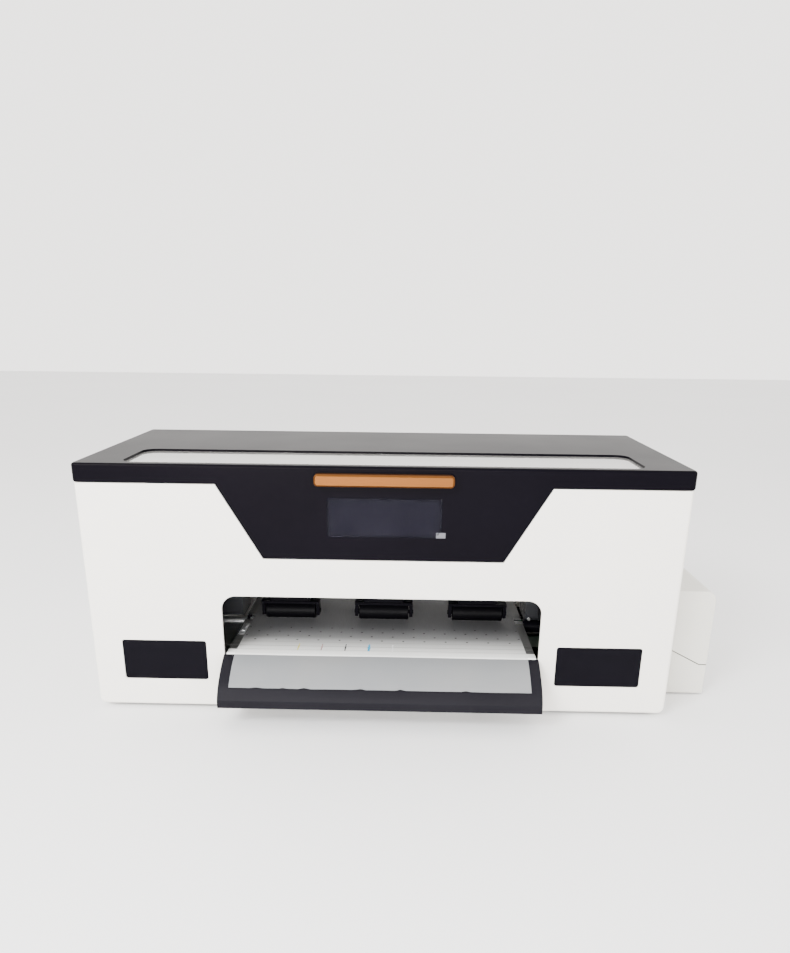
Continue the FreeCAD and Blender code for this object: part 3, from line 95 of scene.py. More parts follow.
# ---- shader groups ------------------------------
def new_group(name, inputs, outputs):
    """An empty shader group with named sockets; returns it with its input and output nodes."""
    group = bpy.data.node_groups.new(name, "ShaderNodeTree")
    for label, kind, value in inputs:
        socket = group.interface.new_socket(name=label, in_out="INPUT", socket_type=kind)
        if value is not None:
            socket.default_value = value
    for label, kind in outputs:
        group.interface.new_socket(name=label, in_out="OUTPUT", socket_type=kind)
    start = group.nodes.new("NodeGroupInput")
    end = group.nodes.new("NodeGroupOutput")
    return group, start, end


def add_node(tree, kind, **settings):
    node = tree.nodes.new(kind)
    for key, value in settings.items():
        if key in node.inputs:
            node.inputs[key].default_value = value
        else:
            setattr(node, key, value)
    return node


FLOAT = "NodeSocketFloat"
VECTOR = "NodeSocketVector"


def make_texture_group():
    """Moulded or powder-coated texture with softened edges: a normal and a slow mottle."""
    group, start, end = new_group(
        "coat_texture",
        [("Grain", FLOAT, 900.0), ("Depth", FLOAT, 0.05), ("Soft Edge", FLOAT, 0.0004)],
        [("Normal", VECTOR), ("Mottle", FLOAT)],
    )
    place = add_node(group, "ShaderNodeTexCoord")
    grain = add_node(group, "ShaderNodeTexNoise", Detail=3.0, Roughness=0.6)
    mottle = add_node(group, "ShaderNodeTexNoise", Scale=9.0, Detail=4.0, Roughness=0.55)
    edge = add_node(group, "ShaderNodeBevel", samples=4)
    bump = add_node(group, "ShaderNodeBump", Distance=0.0002)
    link = group.links.new
    link(place.outputs["Object"], grain.inputs["Vector"])
    link(place.outputs["Object"], mottle.inputs["Vector"])
    link(start.outputs["Grain"], grain.inputs["Scale"])
    link(start.outputs["Soft Edge"], edge.inputs["Radius"])
    link(start.outputs["Depth"], bump.inputs["Strength"])
    link(grain.outputs["Fac"], bump.inputs["Height"])
    link(edge.outputs["Normal"], bump.inputs["Normal"])
    link(bump.outputs["Normal"], end.inputs["Normal"])
    link(mottle.outputs["Fac"], end.inputs["Mottle"])
    return group


def make_wear_group():
    """A mask of worn edges: where the softened normal leaves the true one, broken by noise."""
    group, start, end = new_group(
        "edge_wear", [("Width", FLOAT, 0.0006), ("Amount", FLOAT, 0.5)], [("Mask", FLOAT)]
    )
    place = add_node(group, "ShaderNodeTexCoord")
    true = add_node(group, "ShaderNodeNewGeometry")
    edge = add_node(group, "ShaderNodeBevel", samples=4)
    dot = add_node(group, "ShaderNodeVectorMath", operation="DOT_PRODUCT")
    lean = add_node(group, "ShaderNodeMath", operation="SUBTRACT")
    lean.inputs[0].default_value = 1.0
    noise = add_node(group, "ShaderNodeTexNoise", Scale=140.0, Detail=5.0, Roughness=0.7)
    broken = add_node(group, "ShaderNodeMapRange")
    broken.inputs["From Min"].default_value = 0.45
    broken.inputs["From Max"].default_value = 0.62
    sharp = add_node(group, "ShaderNodeMath", operation="MULTIPLY")
    sharp.inputs[1].default_value = 9.0
    both = add_node(group, "ShaderNodeMath", operation="MULTIPLY", use_clamp=True)
    amount = add_node(group, "ShaderNodeMath", operation="MULTIPLY", use_clamp=True)
    link = group.links.new
    link(start.outputs["Width"], edge.inputs["Radius"])
    link(edge.outputs["Normal"], dot.inputs[0])
    link(true.outputs["Normal"], dot.inputs[1])
    link(dot.outputs["Value"], lean.inputs[1])
    link(lean.outputs["Value"], sharp.inputs[0])
    link(place.outputs["Object"], noise.inputs["Vector"])
    link(noise.outputs["Fac"], broken.inputs["Value"])
    link(sharp.outputs["Value"], both.inputs[0])
    link(broken.outputs["Result"], both.inputs[1])
    link(both.outputs["Value"], amount.inputs[0])
    link(start.outputs["Amount"], amount.inputs[1])
    link(amount.outputs["Value"], end.inputs["Mask"])
    return group


def make_brush_group():
    """Fine straight scratches along one axis, as on ground, drawn or brushed metal."""
    group, start, end = new_group(
        "brushed_lines",
        [("Stretch", VECTOR, (1.0, 60.0, 60.0)), ("Depth", FLOAT, 0.15)],
        [("Normal", VECTOR), ("Lines", FLOAT)],
    )
    place = add_node(group, "ShaderNodeTexCoord")
    stretch = add_node(group, "ShaderNodeVectorMath", operation="MULTIPLY")
    lines = add_node(group, "ShaderNodeTexNoise", Scale=45.0, Detail=4.0, Roughness=0.65)
    edge = add_node(group, "ShaderNodeBevel", samples=4, Radius=0.0004)
    bump = add_node(group, "ShaderNodeBump", Distance=0.0001)
    link = group.links.new
    link(place.outputs["Object"], stretch.inputs[0])
    link(start.outputs["Stretch"], stretch.inputs[1])
    link(stretch.outputs["Vector"], lines.inputs["Vector"])
    link(lines.outputs["Fac"], bump.inputs["Height"])
    link(start.outputs["Depth"], bump.inputs["Strength"])
    link(edge.outputs["Normal"], bump.inputs["Normal"])
    link(bump.outputs["Normal"], end.inputs["Normal"])
    link(lines.outputs["Fac"], end.inputs["Lines"])
    return group


def make_band_group():
    """A mask that is one between two places along an axis of the object coordinates."""
    group, start, end = new_group(
        "band_mask",
        [("Axis", VECTOR, (0.0, 1.0, 0.0)), ("From", FLOAT, 0.0), ("To", FLOAT, 1.0),
         ("Blur", FLOAT, 0.0002)],
        [("Mask", FLOAT)],
    )
    place = add_node(group, "ShaderNodeTexCoord")
    along = add_node(group, "ShaderNodeVectorMath", operation="DOT_PRODUCT")
    link = group.links.new
    link(place.outputs["Object"], along.inputs[0])
    link(start.outputs["Axis"], along.inputs[1])
    sides = []
    for edge, order in (("From", (0, 1)), ("To", (1, 0))):
        gap = add_node(group, "ShaderNodeMath", operation="SUBTRACT")
        sources = (along.outputs["Value"], start.outputs[edge])
        link(sources[order[0]], gap.inputs[0])
        link(sources[order[1]], gap.inputs[1])
        step = add_node(group, "ShaderNodeMath", operation="DIVIDE", use_clamp=True)
        link(gap.outputs["Value"], step.inputs[0])
        link(start.outputs["Blur"], step.inputs[1])
        sides.append(step)
    both = add_node(group, "ShaderNodeMath", operation="MULTIPLY")
    link(sides[0].outputs["Value"], both.inputs[0])
    link(sides[1].outputs["Value"], both.inputs[1])
    link(both.outputs["Value"], end.inputs["Mask"])
    return group


def make_hole_group():
    """A mask of round spots on one rectangular lattice in the XY plane."""
    group, start, end = new_group(
        "hole_spots",
        [("Offset", VECTOR, (0.0, 0.0, 0.0)), ("Pitch", FLOAT, 0.025), ("Radius", FLOAT, 0.001)],
        [("Mask", FLOAT)],
    )
    place = add_node(group, "ShaderNodeTexCoord")
    shift = add_node(group, "ShaderNodeVectorMath", operation="SUBTRACT")
    flat = add_node(group, "ShaderNodeVectorMath", operation="MULTIPLY")
    flat.inputs[1].default_value = (1.0, 1.0, 0.0)
    pitch = add_node(group, "ShaderNodeCombineXYZ")
    half = add_node(group, "ShaderNodeVectorMath", operation="SCALE")
    half.inputs["Scale"].default_value = 0.5
    back = add_node(group, "ShaderNodeVectorMath", operation="SCALE")
    back.inputs["Scale"].default_value = -0.5
    wrap = add_node(group, "ShaderNodeVectorMath", operation="WRAP")
    length = add_node(group, "ShaderNodeVectorMath", operation="LENGTH")
    ratio = add_node(group, "ShaderNodeMath", operation="DIVIDE")
    fade = add_node(group, "ShaderNodeMapRange")
    fade.inputs["From Min"].default_value = 1.3
    fade.inputs["From Max"].default_value = 0.7
    link = group.links.new
    link(place.outputs["Object"], shift.inputs[0])
    link(start.outputs["Offset"], shift.inputs[1])
    link(shift.outputs["Vector"], flat.inputs[0])
    link(start.outputs["Pitch"], pitch.inputs["X"])
    link(start.outputs["Pitch"], pitch.inputs["Y"])
    link(pitch.outputs["Vector"], half.inputs[0])
    link(pitch.outputs["Vector"], back.inputs[0])
    link(flat.outputs["Vector"], wrap.inputs[0])
    link(half.outputs["Vector"], wrap.inputs[1])
    link(back.outputs["Vector"], wrap.inputs[2])
    link(wrap.outputs["Vector"], length.inputs[0])
    link(length.outputs["Value"], ratio.inputs[0])
    link(start.outputs["Radius"], ratio.inputs[1])
    link(ratio.outputs["Value"], fade.inputs["Value"])
    link(fade.outputs["Result"], end.inputs["Mask"])
    return group


TEXTURE = make_texture_group()
WEAR = make_wear_group()
BRUSH = make_brush_group()
BAND = make_band_group()
HOLES = make_hole_group()


# ---- materials ------------------------------
AXES = {"X": (1.0, 0.0, 0.0), "Y": (0.0, 1.0, 0.0), "Z": (0.0, 0.0, 1.0)}
FULL = (0.0, 1.0)


class Finish:
    """A material with its Principled shader and short ways to add the shared effects."""

    def __init__(self, name, **constants):
        self.material = bpy.data.materials.new(name)
        self.material.use_nodes = True
        self.tree = self.material.node_tree
        self.shader = self.tree.nodes["Principled BSDF"]
        for key, value in constants.items():
            self.shader.inputs[key.replace("_", " ")].default_value = value

    def link(self, source, target):
        self.tree.links.new(source, target)

    def group(self, group, **values):
        node = self.tree.nodes.new("ShaderNodeGroup")
        node.node_tree = group
        for key, value in values.items():
            node.inputs[key.replace("_", " ")].default_value = value
        return node

    def mix(self, mask, first, second):
        """A colour mixed by a mask from two colours or colour outputs."""
        node = self.tree.nodes.new("ShaderNodeMix")
        node.data_type = "RGBA"
        self.link(mask, node.inputs["Factor"])
        for socket, value in ((node.inputs[6], first), (node.inputs[7], second)):
            if isinstance(value, tuple):
                socket.default_value = (*value, 1.0)
            else:
                self.link(value, socket)
        return node.outputs[2]

    def span(self, value, low_value, high_value, source=(0.3, 0.7)):
        """A value carried from one range to another."""
        node = self.tree.nodes.new("ShaderNodeMapRange")
        node.inputs["From Min"].default_value = source[0]
        node.inputs["From Max"].default_value = source[1]
        node.inputs["To Min"].default_value = low_value
        node.inputs["To Max"].default_value = high_value
        self.link(value, node.inputs["Value"])
        return node.outputs["Result"]

    def wander(self, value, first, second):
        """A colour that wanders between two as a noise or mottle does."""
        return self.mix(self.span(value, 0.0, 1.0), first, second)

    def times(self, first, second):
        """Two masks multiplied together."""
        node = add_node(self.tree, "ShaderNodeMath", operation="MULTIPLY")
        self.link(first, node.inputs[0])
        self.link(second, node.inputs[1])
        return node.outputs["Value"]

    def band(self, axis, start, end, blur=0.0002):
        """A mask that is one between two places along an axis."""
        return self.group(BAND, Axis=AXES[axis], From=start, To=end, Blur=blur).outputs["Mask"]

    def place(self):
        """The object's own coordinates."""
        return self.tree.nodes.new("ShaderNodeTexCoord").outputs["Object"]

    def noise(self, scale, detail=3.0, stretch=(1.0, 1.0, 1.0)):
        mapping = add_node(self.tree, "ShaderNodeMapping", Scale=stretch)
        node = add_node(self.tree, "ShaderNodeTexNoise", Scale=scale, Detail=detail)
        self.link(self.place(), mapping.inputs["Vector"])
        self.link(mapping.outputs["Vector"], node.inputs["Vector"])
        return node.outputs["Fac"]

    def set(self, name, value):
        self.link(value, self.shader.inputs[name])


def coated(name, colour, shade, rough, grain=900.0, depth=0.05, edge=0.0004, worn=None, **constants):
    """Powder coat or moulded plastic: a slow mottle in colour and gloss, grain and soft edges."""
    finish = Finish(name, **constants)
    texture = finish.group(TEXTURE, Grain=grain, Depth=depth, Soft_Edge=edge)
    tint = finish.wander(texture.outputs["Mottle"], shade, colour)
    if worn:
        wear = finish.group(WEAR, Amount=worn[1])
        tint = finish.mix(wear.outputs["Mask"], tint, worn[0])
    finish.set("Base Color", tint)
    finish.set("Roughness", finish.span(texture.outputs["Mottle"], rough[0], rough[1]))
    finish.set("Normal", texture.outputs["Normal"])
    return finish.material


def metal(name, colour, shade, rough, stretch=(1.0, 60.0, 60.0), depth=0.15, **constants):
    finish = Finish(name, Metallic=1.0, **constants)
    lines = finish.group(BRUSH, Stretch=stretch, Depth=depth)
    finish.set("Base Color", finish.wander(lines.outputs["Lines"], shade, colour))
    finish.set("Roughness", finish.span(lines.outputs["Lines"], rough[0], rough[1]))
    finish.set("Normal", lines.outputs["Normal"])
    return finish.material


def rubber(name, colour, rough=(0.62, 0.8), grain=1400.0):
    shade = tuple(c * 0.7 for c in colour)
    return coated(name, colour, shade, rough, grain=grain, depth=0.12, edge=0.0003,
                  Specular_IOR_Level=0.06)


def platen_finish():
    """Grey anodised plate with a pale, smoother nose strip."""
    finish = Finish("anodised_platen")
    texture = finish.group(TEXTURE, Grain=1600.0, Depth=0.06, Soft_Edge=0.0003)
    nose = finish.band("Y", FRONT_Y - 10.0 * MM, FRONT_Y + 13.5 * MM)
    grey = finish.wander(texture.outputs["Mottle"], (0.07, 0.07, 0.069), (0.095, 0.095, 0.092))
    finish.set("Base Color", finish.mix(nose, grey, (0.88, 0.88, 0.86)))
    finish.set("Metallic", finish.span(nose, 0.35, 0.0, FULL))
    finish.set("Roughness", finish.span(nose, 0.42, 0.25, FULL))
    finish.set("Normal", texture.outputs["Normal"])
    return finish.material


def film_finish():
    """Matt see-through release film: light over the pale nose, darker on the grey plate with painted
    shade deepening towards the rear, and the plate's groove lines and hole spots showing through."""
    finish = Finish("release_film", IOR=1.45, Specular_IOR_Level=0.3)
    streaks = finish.noise(60.0, 4.0, (30.0, 1.0, 1.0))
    hanging = finish.wander(finish.noise(14.0, 4.0), (0.20, 0.209, 0.219), (0.222, 0.226, 0.228))
    parts = finish.tree.nodes.new("ShaderNodeSeparateXYZ")
    finish.link(finish.place(), parts.inputs["Vector"])
    # painted light and shade: pale just behind the nose, then darkening towards the rear where the
    # casing shades the film; only part of the darkening is the grey plate showing through
    depth = finish.span(parts.outputs["Y"], 0.0, 1.0, (FRONT_Y + 16.0 * MM, FRONT_Y + 52.0 * MM))
    tint = finish.mix(depth, (0.82, 0.82, 0.80), (0.24, 0.24, 0.24))
    # painted shade: darker still further back, under the casing
    painted_rear_shade = finish.span(parts.outputs["Y"], 0.0, 1.0, (FRONT_Y + 45.0 * MM, FRONT_Y + 85.0 * MM))
    tint = finish.mix(painted_rear_shade, tint, (0.135, 0.135, 0.14))
    nose = finish.band("Y", FRONT_Y - 0.6 * MM, FRONT_Y + 11.0 * MM, 0.8 * MM)
    tint = finish.mix(nose, tint, (0.90, 0.90, 0.88))
    over = finish.band("Y", FRONT_Y - 200.0 * MM, FRONT_Y - 0.4 * MM, 0.6 * MM)
    tint = finish.mix(over, tint, hanging)
    for y, width in GROOVES:
        groove = finish.band("Y", FRONT_Y + y * MM, FRONT_Y + (y + width) * MM)
        tint = finish.mix(finish.span(groove, 0.0, 0.55, FULL), tint, (0.20, 0.20, 0.195))
    region = finish.band("Y", FRONT_Y + 36.0 * MM, FRONT_Y + 86.0 * MM)
    for row, column in ((0.0, 0.0), (HOLE_ROW, HOLE_PITCH / 2)):
        corner = (MID_X + column, FRONT_Y + HOLE_FIRST + row, 0.0)
        spots = finish.group(HOLES, Offset=corner, Pitch=HOLE_PITCH, Radius=1.2 * MM)
        spots = finish.times(spots.outputs["Mask"], region)
        tint = finish.mix(spots, tint, (0.03, 0.03, 0.03))
    finish.set("Base Color", tint)
    finish.set("Roughness", finish.span(streaks, 0.3, 0.45))
    path = finish.tree.nodes.new("ShaderNodeLightPath")
    finish.set("Alpha", finish.span(path.outputs["Is Shadow Ray"], 0.74, 0.3, FULL))
    bump = add_node(finish.tree, "ShaderNodeBump", Strength=0.08, Distance=0.0002)
    finish.link(streaks, bump.inputs["Height"])
    finish.set("Normal", bump.outputs["Normal"])
    return finish.material


def acrylic_finish():
    """Milky clear window sheet: glossy, half see-through, with faint wipe marks."""
    finish = Finish("window_acrylic", IOR=1.49, Coat_Weight=1.0, Coat_Roughness=0.06, Alpha=0.72)
    smear = finish.noise(10.0, 5.0, (1.0, 5.0, 1.0))
    finish.set("Base Color", finish.wander(smear, (0.33, 0.328, 0.32), (0.37, 0.367, 0.355)))
    finish.set("Roughness", finish.span(smear, 0.1, 0.24))
    return finish.material


def screen_finish():
    """Dark cover glass with a slightly bluer lit area inside a black border."""
    finish = Finish("screen_glass", IOR=1.5, Specular_IOR_Level=0.05)
    lo, hi = low("display_glass"), high("display_glass")
    border = 3.0 * MM
    across = finish.band("X", lo.x + border, hi.x - border)
    upright = finish.band("Z", lo.z + border, hi.z - border)
    cloud = finish.noise(22.0, 4.0)
    lit = finish.wander(cloud, (0.0048, 0.0043, 0.0080), (0.0072, 0.0066, 0.0118))
    inside = finish.times(across, upright)
    finish.set("Base Color", finish.mix(inside, (0.004, 0.004, 0.006), lit))
    finish.set("Roughness", finish.span(cloud, 0.22, 0.4))
    return finish.material


def inlet_finish():
    """Black moulding with nickel pins in the socket."""
    finish = Finish("inlet_plastic", Roughness=0.45)
    texture = finish.group(TEXTURE, Grain=1200.0, Depth=0.08, Soft_Edge=0.0003)
    x = low("power_inlet").x + 24.0 * MM
    z = middle("power_inlet").z
    across = finish.band("X", x - 8.5 * MM, x + 8.5 * MM)
    upright = finish.band("Z", z - 5.2 * MM, z + 4.2 * MM)
    deep = finish.band("Y", BACK_Y - 13.8 * MM, BACK_Y - 0.8 * MM)
    pins = finish.times(finish.times(across, upright), deep)
    finish.set("Base Color", finish.mix(pins, (0.014, 0.014, 0.016), (0.62, 0.6, 0.55)))
    finish.set("Metallic", pins)
    finish.set("Normal", texture.outputs["Normal"])
    return finish.material


INKS = {
    "black": (0.01, 0.01, 0.012),
    "cyan": (0.0, 0.25, 0.60),
    "magenta": (0.55, 0.02, 0.20),
    "yellow": (0.80, 0.60, 0.02),
    "white": (0.80, 0.80, 0.78),
    "second_white": (0.78, 0.78, 0.77),
}


def cap_finish():
    """One moulding in six colours, each cap in its ink's colour."""
    finish = Finish("tank_cap_plastic")
    texture = finish.group(TEXTURE, Grain=1100.0, Depth=0.05, Soft_Edge=0.0003)
    lo, hi = low("ink_tank_caps"), high("ink_tank_caps")
    pitch = (hi.y - lo.y - (hi.x - lo.x)) / (len(INKS) - 1)
    tint = (0.01, 0.01, 0.01)
    for i, colour in enumerate(INKS.values()):
        start = lo.y + i * pitch - 4.0 * MM
        tint = finish.mix(finish.band("Y", start, start + pitch), tint, colour)
    finish.set("Base Color", tint)
    finish.set("Roughness", finish.span(texture.outputs["Mottle"], 0.28, 0.42))
    finish.set("Normal", texture.outputs["Normal"])
    return finish.material


def board_finish(node, top, thick, port_y=None):
    """Green solder mask with darker tracks, black chips above, brass posts below, a tinned port."""
    finish = Finish(node + "_circuit")
    tracks = add_node(finish.tree, "ShaderNodeTexBrick", Scale=260.0, Color1=(0.004, 0.040, 0.018, 1.0),
                      Color2=(0.003, 0.030, 0.013, 1.0), Mortar=(0.012, 0.075, 0.032, 1.0))
    tracks.inputs["Mortar Size"].default_value = 0.06
    finish.link(finish.place(), tracks.inputs["Vector"])
    chips = finish.band("Z", top + 0.2 * MM, top + 100.0 * MM)
    tint = finish.mix(chips, tracks.outputs["Color"], (0.008, 0.008, 0.009))
    posts = finish.band("Z", top - 100.0 * MM, top - thick - 0.2 * MM)
    tint = finish.mix(posts, tint, (0.45, 0.32, 0.12))
    if port_y:
        port = finish.band("Y", port_y, port_y + 100.0 * MM)
        tint = finish.mix(port, tint, (0.42, 0.42, 0.41))
        finish.set("Metallic", port)
    finish.set("Base Color", tint)
    finish.set("Roughness", finish.span(finish.noise(40.0), 0.3, 0.5))
    return finish.material


def ink_tick_finish(name, colour):
    """A printed test mark: the ink's colour, patchy where the nozzles skipped."""
    finish = Finish(name, Roughness=0.45)
    dots = finish.noise(900.0, 2.0)
    finish.set("Base Color", finish.wander(dots, tuple(c * 0.75 for c in colour), colour))
    finish.set("Alpha", finish.span(dots, 0.45, 0.95, (0.35, 0.55)))
    return finish.material


# each finish: its name, two colours it wanders between, and its roughness from least to most
WHITE_PAINT = coated(
    "warm_white_paint", (0.86, 0.825, 0.765), (0.83, 0.80, 0.745), (0.36, 0.46),
    grain=800.0, depth=0.035, edge=0.0007)
WHITE_PLASTIC = coated(
    "warm_white_plastic", (0.65, 0.635, 0.58), (0.61, 0.595, 0.545), (0.34, 0.44),
    grain=1300.0, depth=0.04, edge=0.0008)
LID_PAINT = coated(
    "satin_black_lid", (0.0026, 0.0022, 0.0042), (0.0021, 0.0018, 0.0034), (0.33, 0.36),
    grain=1500.0, edge=0.0008, worn=((0.012, 0.012, 0.013), 0.3),
    Specular_IOR_Level=0.028, Specular_Tint=(1.0, 0.90, 0.83, 1.0))
BLACK_PLASTIC = coated(
    "black_moulding", (0.0034, 0.0030, 0.0048), (0.0026, 0.0023, 0.0037), (0.4, 0.52),
    grain=1700.0, depth=0.1, Specular_IOR_Level=0.03)
BLACK_STEEL = coated(
    "black_powder_coat", (0.007, 0.0065, 0.009), (0.005, 0.0047, 0.0066), (0.42, 0.55),
    grain=1100.0, depth=0.12, worn=((0.06, 0.06, 0.065), 0.5), Specular_IOR_Level=0.12)
APRON_COAT = coated(
    "satin_black_apron", (0.0085, 0.0080, 0.0105), (0.0066, 0.0062, 0.0084), (0.4, 0.5),
    grain=1200.0, depth=0.08, worn=((0.03, 0.03, 0.033), 0.35), Specular_IOR_Level=0.05)
GREY_PLASTIC = coated(
    "dark_grey_moulding", (0.030, 0.031, 0.035), (0.023, 0.024, 0.027), (0.25, 0.34),
    grain=1500.0, depth=0.08, Specular_IOR_Level=0.4)
INK_PLASTIC = coated(
    "milky_tank_plastic", (0.42, 0.42, 0.405), (0.37, 0.37, 0.355), (0.22, 0.34),
    grain=700.0, depth=0.04, Alpha=0.3)

# each metal also: how its lines are stretched along x, y and z, and how deep they look
COPPER = metal("copper_anodised", (0.165, 0.063, 0.0175), (0.14, 0.052, 0.0138), (0.38, 0.48),
               (1.0, 80.0, 80.0), 0.12)
STEEL = metal("ground_steel", (0.62, 0.62, 0.61), (0.48, 0.48, 0.48), (0.22, 0.36),
              (60.0, 1.0, 60.0), 0.12)
RAIL_STEEL = metal("rail_steel", (0.58, 0.58, 0.57), (0.46, 0.46, 0.46), (0.2, 0.32),
                   (1.0, 60.0, 60.0), 0.1)
BRIGHT_METAL = metal("bright_plated_metal", (0.85, 0.85, 0.86), (0.7, 0.7, 0.72), (0.3, 0.5),
                     (9.0, 9.0, 9.0), 0.3)
ALUMINIUM = metal("satin_aluminium", (0.74, 0.74, 0.75), (0.62, 0.62, 0.63), (0.32, 0.45),
                  (1.0, 60.0, 60.0), 0.14)
SPRING_STEEL = metal("spring_steel", (0.5, 0.5, 0.49), (0.38, 0.38, 0.38), (0.25, 0.4),
                     (8.0, 8.0, 8.0), 0.1)
BLACK_RUBBER = rubber("black_rubber", (0.012, 0.012, 0.013))
ROLLER_RUBBER = rubber("roller_rubber", (0.0026, 0.0024, 0.0034), (0.42, 0.55), 900.0)
PLATEN = platen_finish()
FILM = film_finish()
ACRYLIC = acrylic_finish()
SCREEN = screen_finish()
INLET = inlet_finish()
CAPS = cap_finish()
BOARD = board_finish("main_board", low("main_board").z + BOARD_UP + BOARD_T, BOARD_T,
                     BACK_Y - PORT_DEEP)
# green all over: its chips and posts are set out of reach
DISPLAY_BOARD = board_finish("display_board", 1.0, 2.0)

NODE_FINISH = {
    WHITE_PAINT: ["front_panel", "back_panel", "left_side_cover", "right_side_cover"],
    WHITE_PLASTIC: ["side_tray", "side_cover"],
    LID_PAINT: ["lid_shell"],
    BLACK_PLASTIC: ["left_blank_panel", "right_blank_panel", "fan_frames", "vacuum_fan_rotor",
                    "rear_fan_rotor", "pinch_arms", "power_rocker"],
    BLACK_STEEL: ["base_tray", "left_side_frame", "right_side_frame", "feed_motor", "x_motor",
                  "carriage_body"],
    APRON_COAT: ["apron"],
    GREY_PLASTIC: ["left_end_cover", "right_end_cover", "print_head", "capping_base", "vacuum_chamber"],
    INK_PLASTIC: ["ink_dampers", "ink_tanks"],
    COPPER: ["handle"],
    STEEL: ["case_screws", "lid_hinge_leaves", "base_hinge_leaves", "pinch_lift_shaft"],
    BRIGHT_METAL: ["grit_roller"],
    RAIL_STEEL: ["linear_rail"],
    SPRING_STEEL: ["pinch_springs"],
    ALUMINIUM: ["feed_pulley", "feed_motor_pulley", "x_beam", "x_motor_pulley", "x_idler_pulley",
                "uv_lamp", "power_supply"],
    BLACK_RUBBER: ["rubber_feet", "feed_belt", "x_belt", "cap_block", "wiper_blade"],
    ROLLER_RUBBER: ["pinch_roller_left", "pinch_roller_middle", "pinch_roller_right"],
    PLATEN: ["vacuum_platen", "rear_platen"],
    ACRYLIC: ["window_panel"],
    SCREEN: ["display_glass"],
    INLET: ["power_inlet"],
    CAPS: ["ink_tank_caps"],
    BOARD: ["main_board"],
    DISPLAY_BOARD: ["display_module"],
    FILM: ["transfer_film"],
}


def dress_frame():
    for material, nodes in NODE_FINISH.items():
        for node in nodes:
            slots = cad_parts[node].material_slots
            for slot in slots:
                slot.material = material
            if not len(slots):
                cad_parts[node].data.materials.append(material)


# ---- modelling helpers ------------------------------
def start_clean():
    if bpy.context.object and bpy.context.object.mode != "OBJECT":
        bpy.ops.object.mode_set(mode="OBJECT")
    bpy.ops.object.select_all(action="DESELECT")


def settle(piece, name):
    """Name a new object and put its place into its mesh."""
    piece.name = name
    piece.data.name = name
    bpy.ops.object.transform_apply(location=True, rotation=True, scale=True)
    return piece


def apply_modifier(piece, kind, **settings):
    modifier = piece.modifiers.new(kind.lower(), kind)
    for key, value in settings.items():
        setattr(modifier, key, value)
    start_clean()
    bpy.context.view_layer.objects.active = piece
    piece.select_set(True)
    bpy.ops.object.modifier_apply(modifier=modifier.name)
    return piece


def bevelled(piece, width, segments=2, angle=40):
    return apply_modifier(piece, "BEVEL", width=width, segments=segments, limit_method="ANGLE",
                          angle_limit=math.radians(angle))


def smooth(piece, angle=35):
    start_clean()
    bpy.context.view_layer.objects.active = piece
    piece.select_set(True)
    bpy.ops.object.shade_smooth_by_angle(angle=math.radians(angle))
    return piece


def block(name, corner, other, bevel=0.0):
    """A block between two corners with bevelled edges."""
    start_clean()
    a, b = Vector(corner), Vector(other)
    bpy.ops.mesh.primitive_cube_add(size=1.0, location=(a + b) / 2)
    piece = bpy.context.object
    piece.scale = [abs(v) for v in (b - a)]
    settle(piece, name)
    if bevel:
        bevelled(piece, bevel)
    return smooth(piece)


QUARTER = math.radians(90)
ALONG_X = (0, QUARTER, 0)


def joined(name, pieces):
    start_clean()
    for piece in pieces:
        piece.select_set(True)
    bpy.context.view_layer.objects.active = pieces[0]
    bpy.ops.object.join()
    pieces[0].name = name
    return pieces[0]


def copied(piece, shift, name):
    """A copy with its own mesh, moved by a shift."""
    twin = piece.copy()
    twin.data = piece.data.copy()
    twin.data.transform(Matrix.Translation(shift))
    twin.name = name
    bpy.context.collection.objects.link(twin)
    return twin


def fit(piece, body, material):
    """Give a finished piece its material and let it ride on a body."""
    piece.data.materials.clear()
    piece.data.materials.append(material)
    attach(piece, body)
    return piece


def tube(name, points, radius):
    """A tube along a smooth line through a few points."""
    start_clean()
    curve = bpy.data.curves.new(name, "CURVE")
    curve.dimensions = "3D"
    curve.bevel_depth = radius
    curve.bevel_resolution = 2
    curve.resolution_u = 10
    curve.use_fill_caps = True
    spline = curve.splines.new("NURBS")
    spline.points.add(len(points) - 1)
    for place, point in zip(spline.points, points):
        place.co = (*point, 1.0)
    spline.order_u = 3
    spline.use_endpoint_u = True
    piece = bpy.data.objects.new(name, curve)
    bpy.context.collection.objects.link(piece)
    bpy.context.view_layer.objects.active = piece
    piece.select_set(True)
    bpy.ops.object.convert(target="MESH")
    return smooth(bpy.context.object, 60)


# ---- film ------------------------------
# where it starts to bend, and each arc it hangs in: its radius and the slope it ends at
FILM_LEAD = 4.0 * MM
FILM_ARCS = ((14.0 * MM, 19.0), (100.0 * MM, 41.0), (42.0 * MM, 49.0))
FILM_T = 0.15 * MM
FILM_LIFT = 0.06 * MM
FILM_SWELL = 0.12 * MM
FLAT_ROWS = 44
ARC_STEP = 1.6
FILM_COLUMNS = 160
TORN_ROWS = 5


def film_path():
    """Points and upward normals from the back edge, over the platen and down the apron."""
    top = PLATEN_TOP + FILM_LIFT
    back = high("transfer_film").y
    lead = FRONT_Y + FILM_LEAD
    rows = [(back + (lead - back) * i / FLAT_ROWS, top, 0.0) for i in range(FLAT_ROWS + 1)]
    y, z, slope = lead, top, 0.0
    for radius, last in FILM_ARCS:
        steps = max(4, int((last - slope) / ARC_STEP))
        a0 = math.radians(slope)
        for i in range(1, steps + 1):
            a = a0 + (math.radians(last) - a0) * i / steps
            py = y - radius * (math.sin(a) - math.sin(a0))
            pz = z - radius * (math.cos(a0) - math.cos(a))
            rows.append((py, pz, a))
        y, z, _ = rows[-1]
        slope = last
    return rows


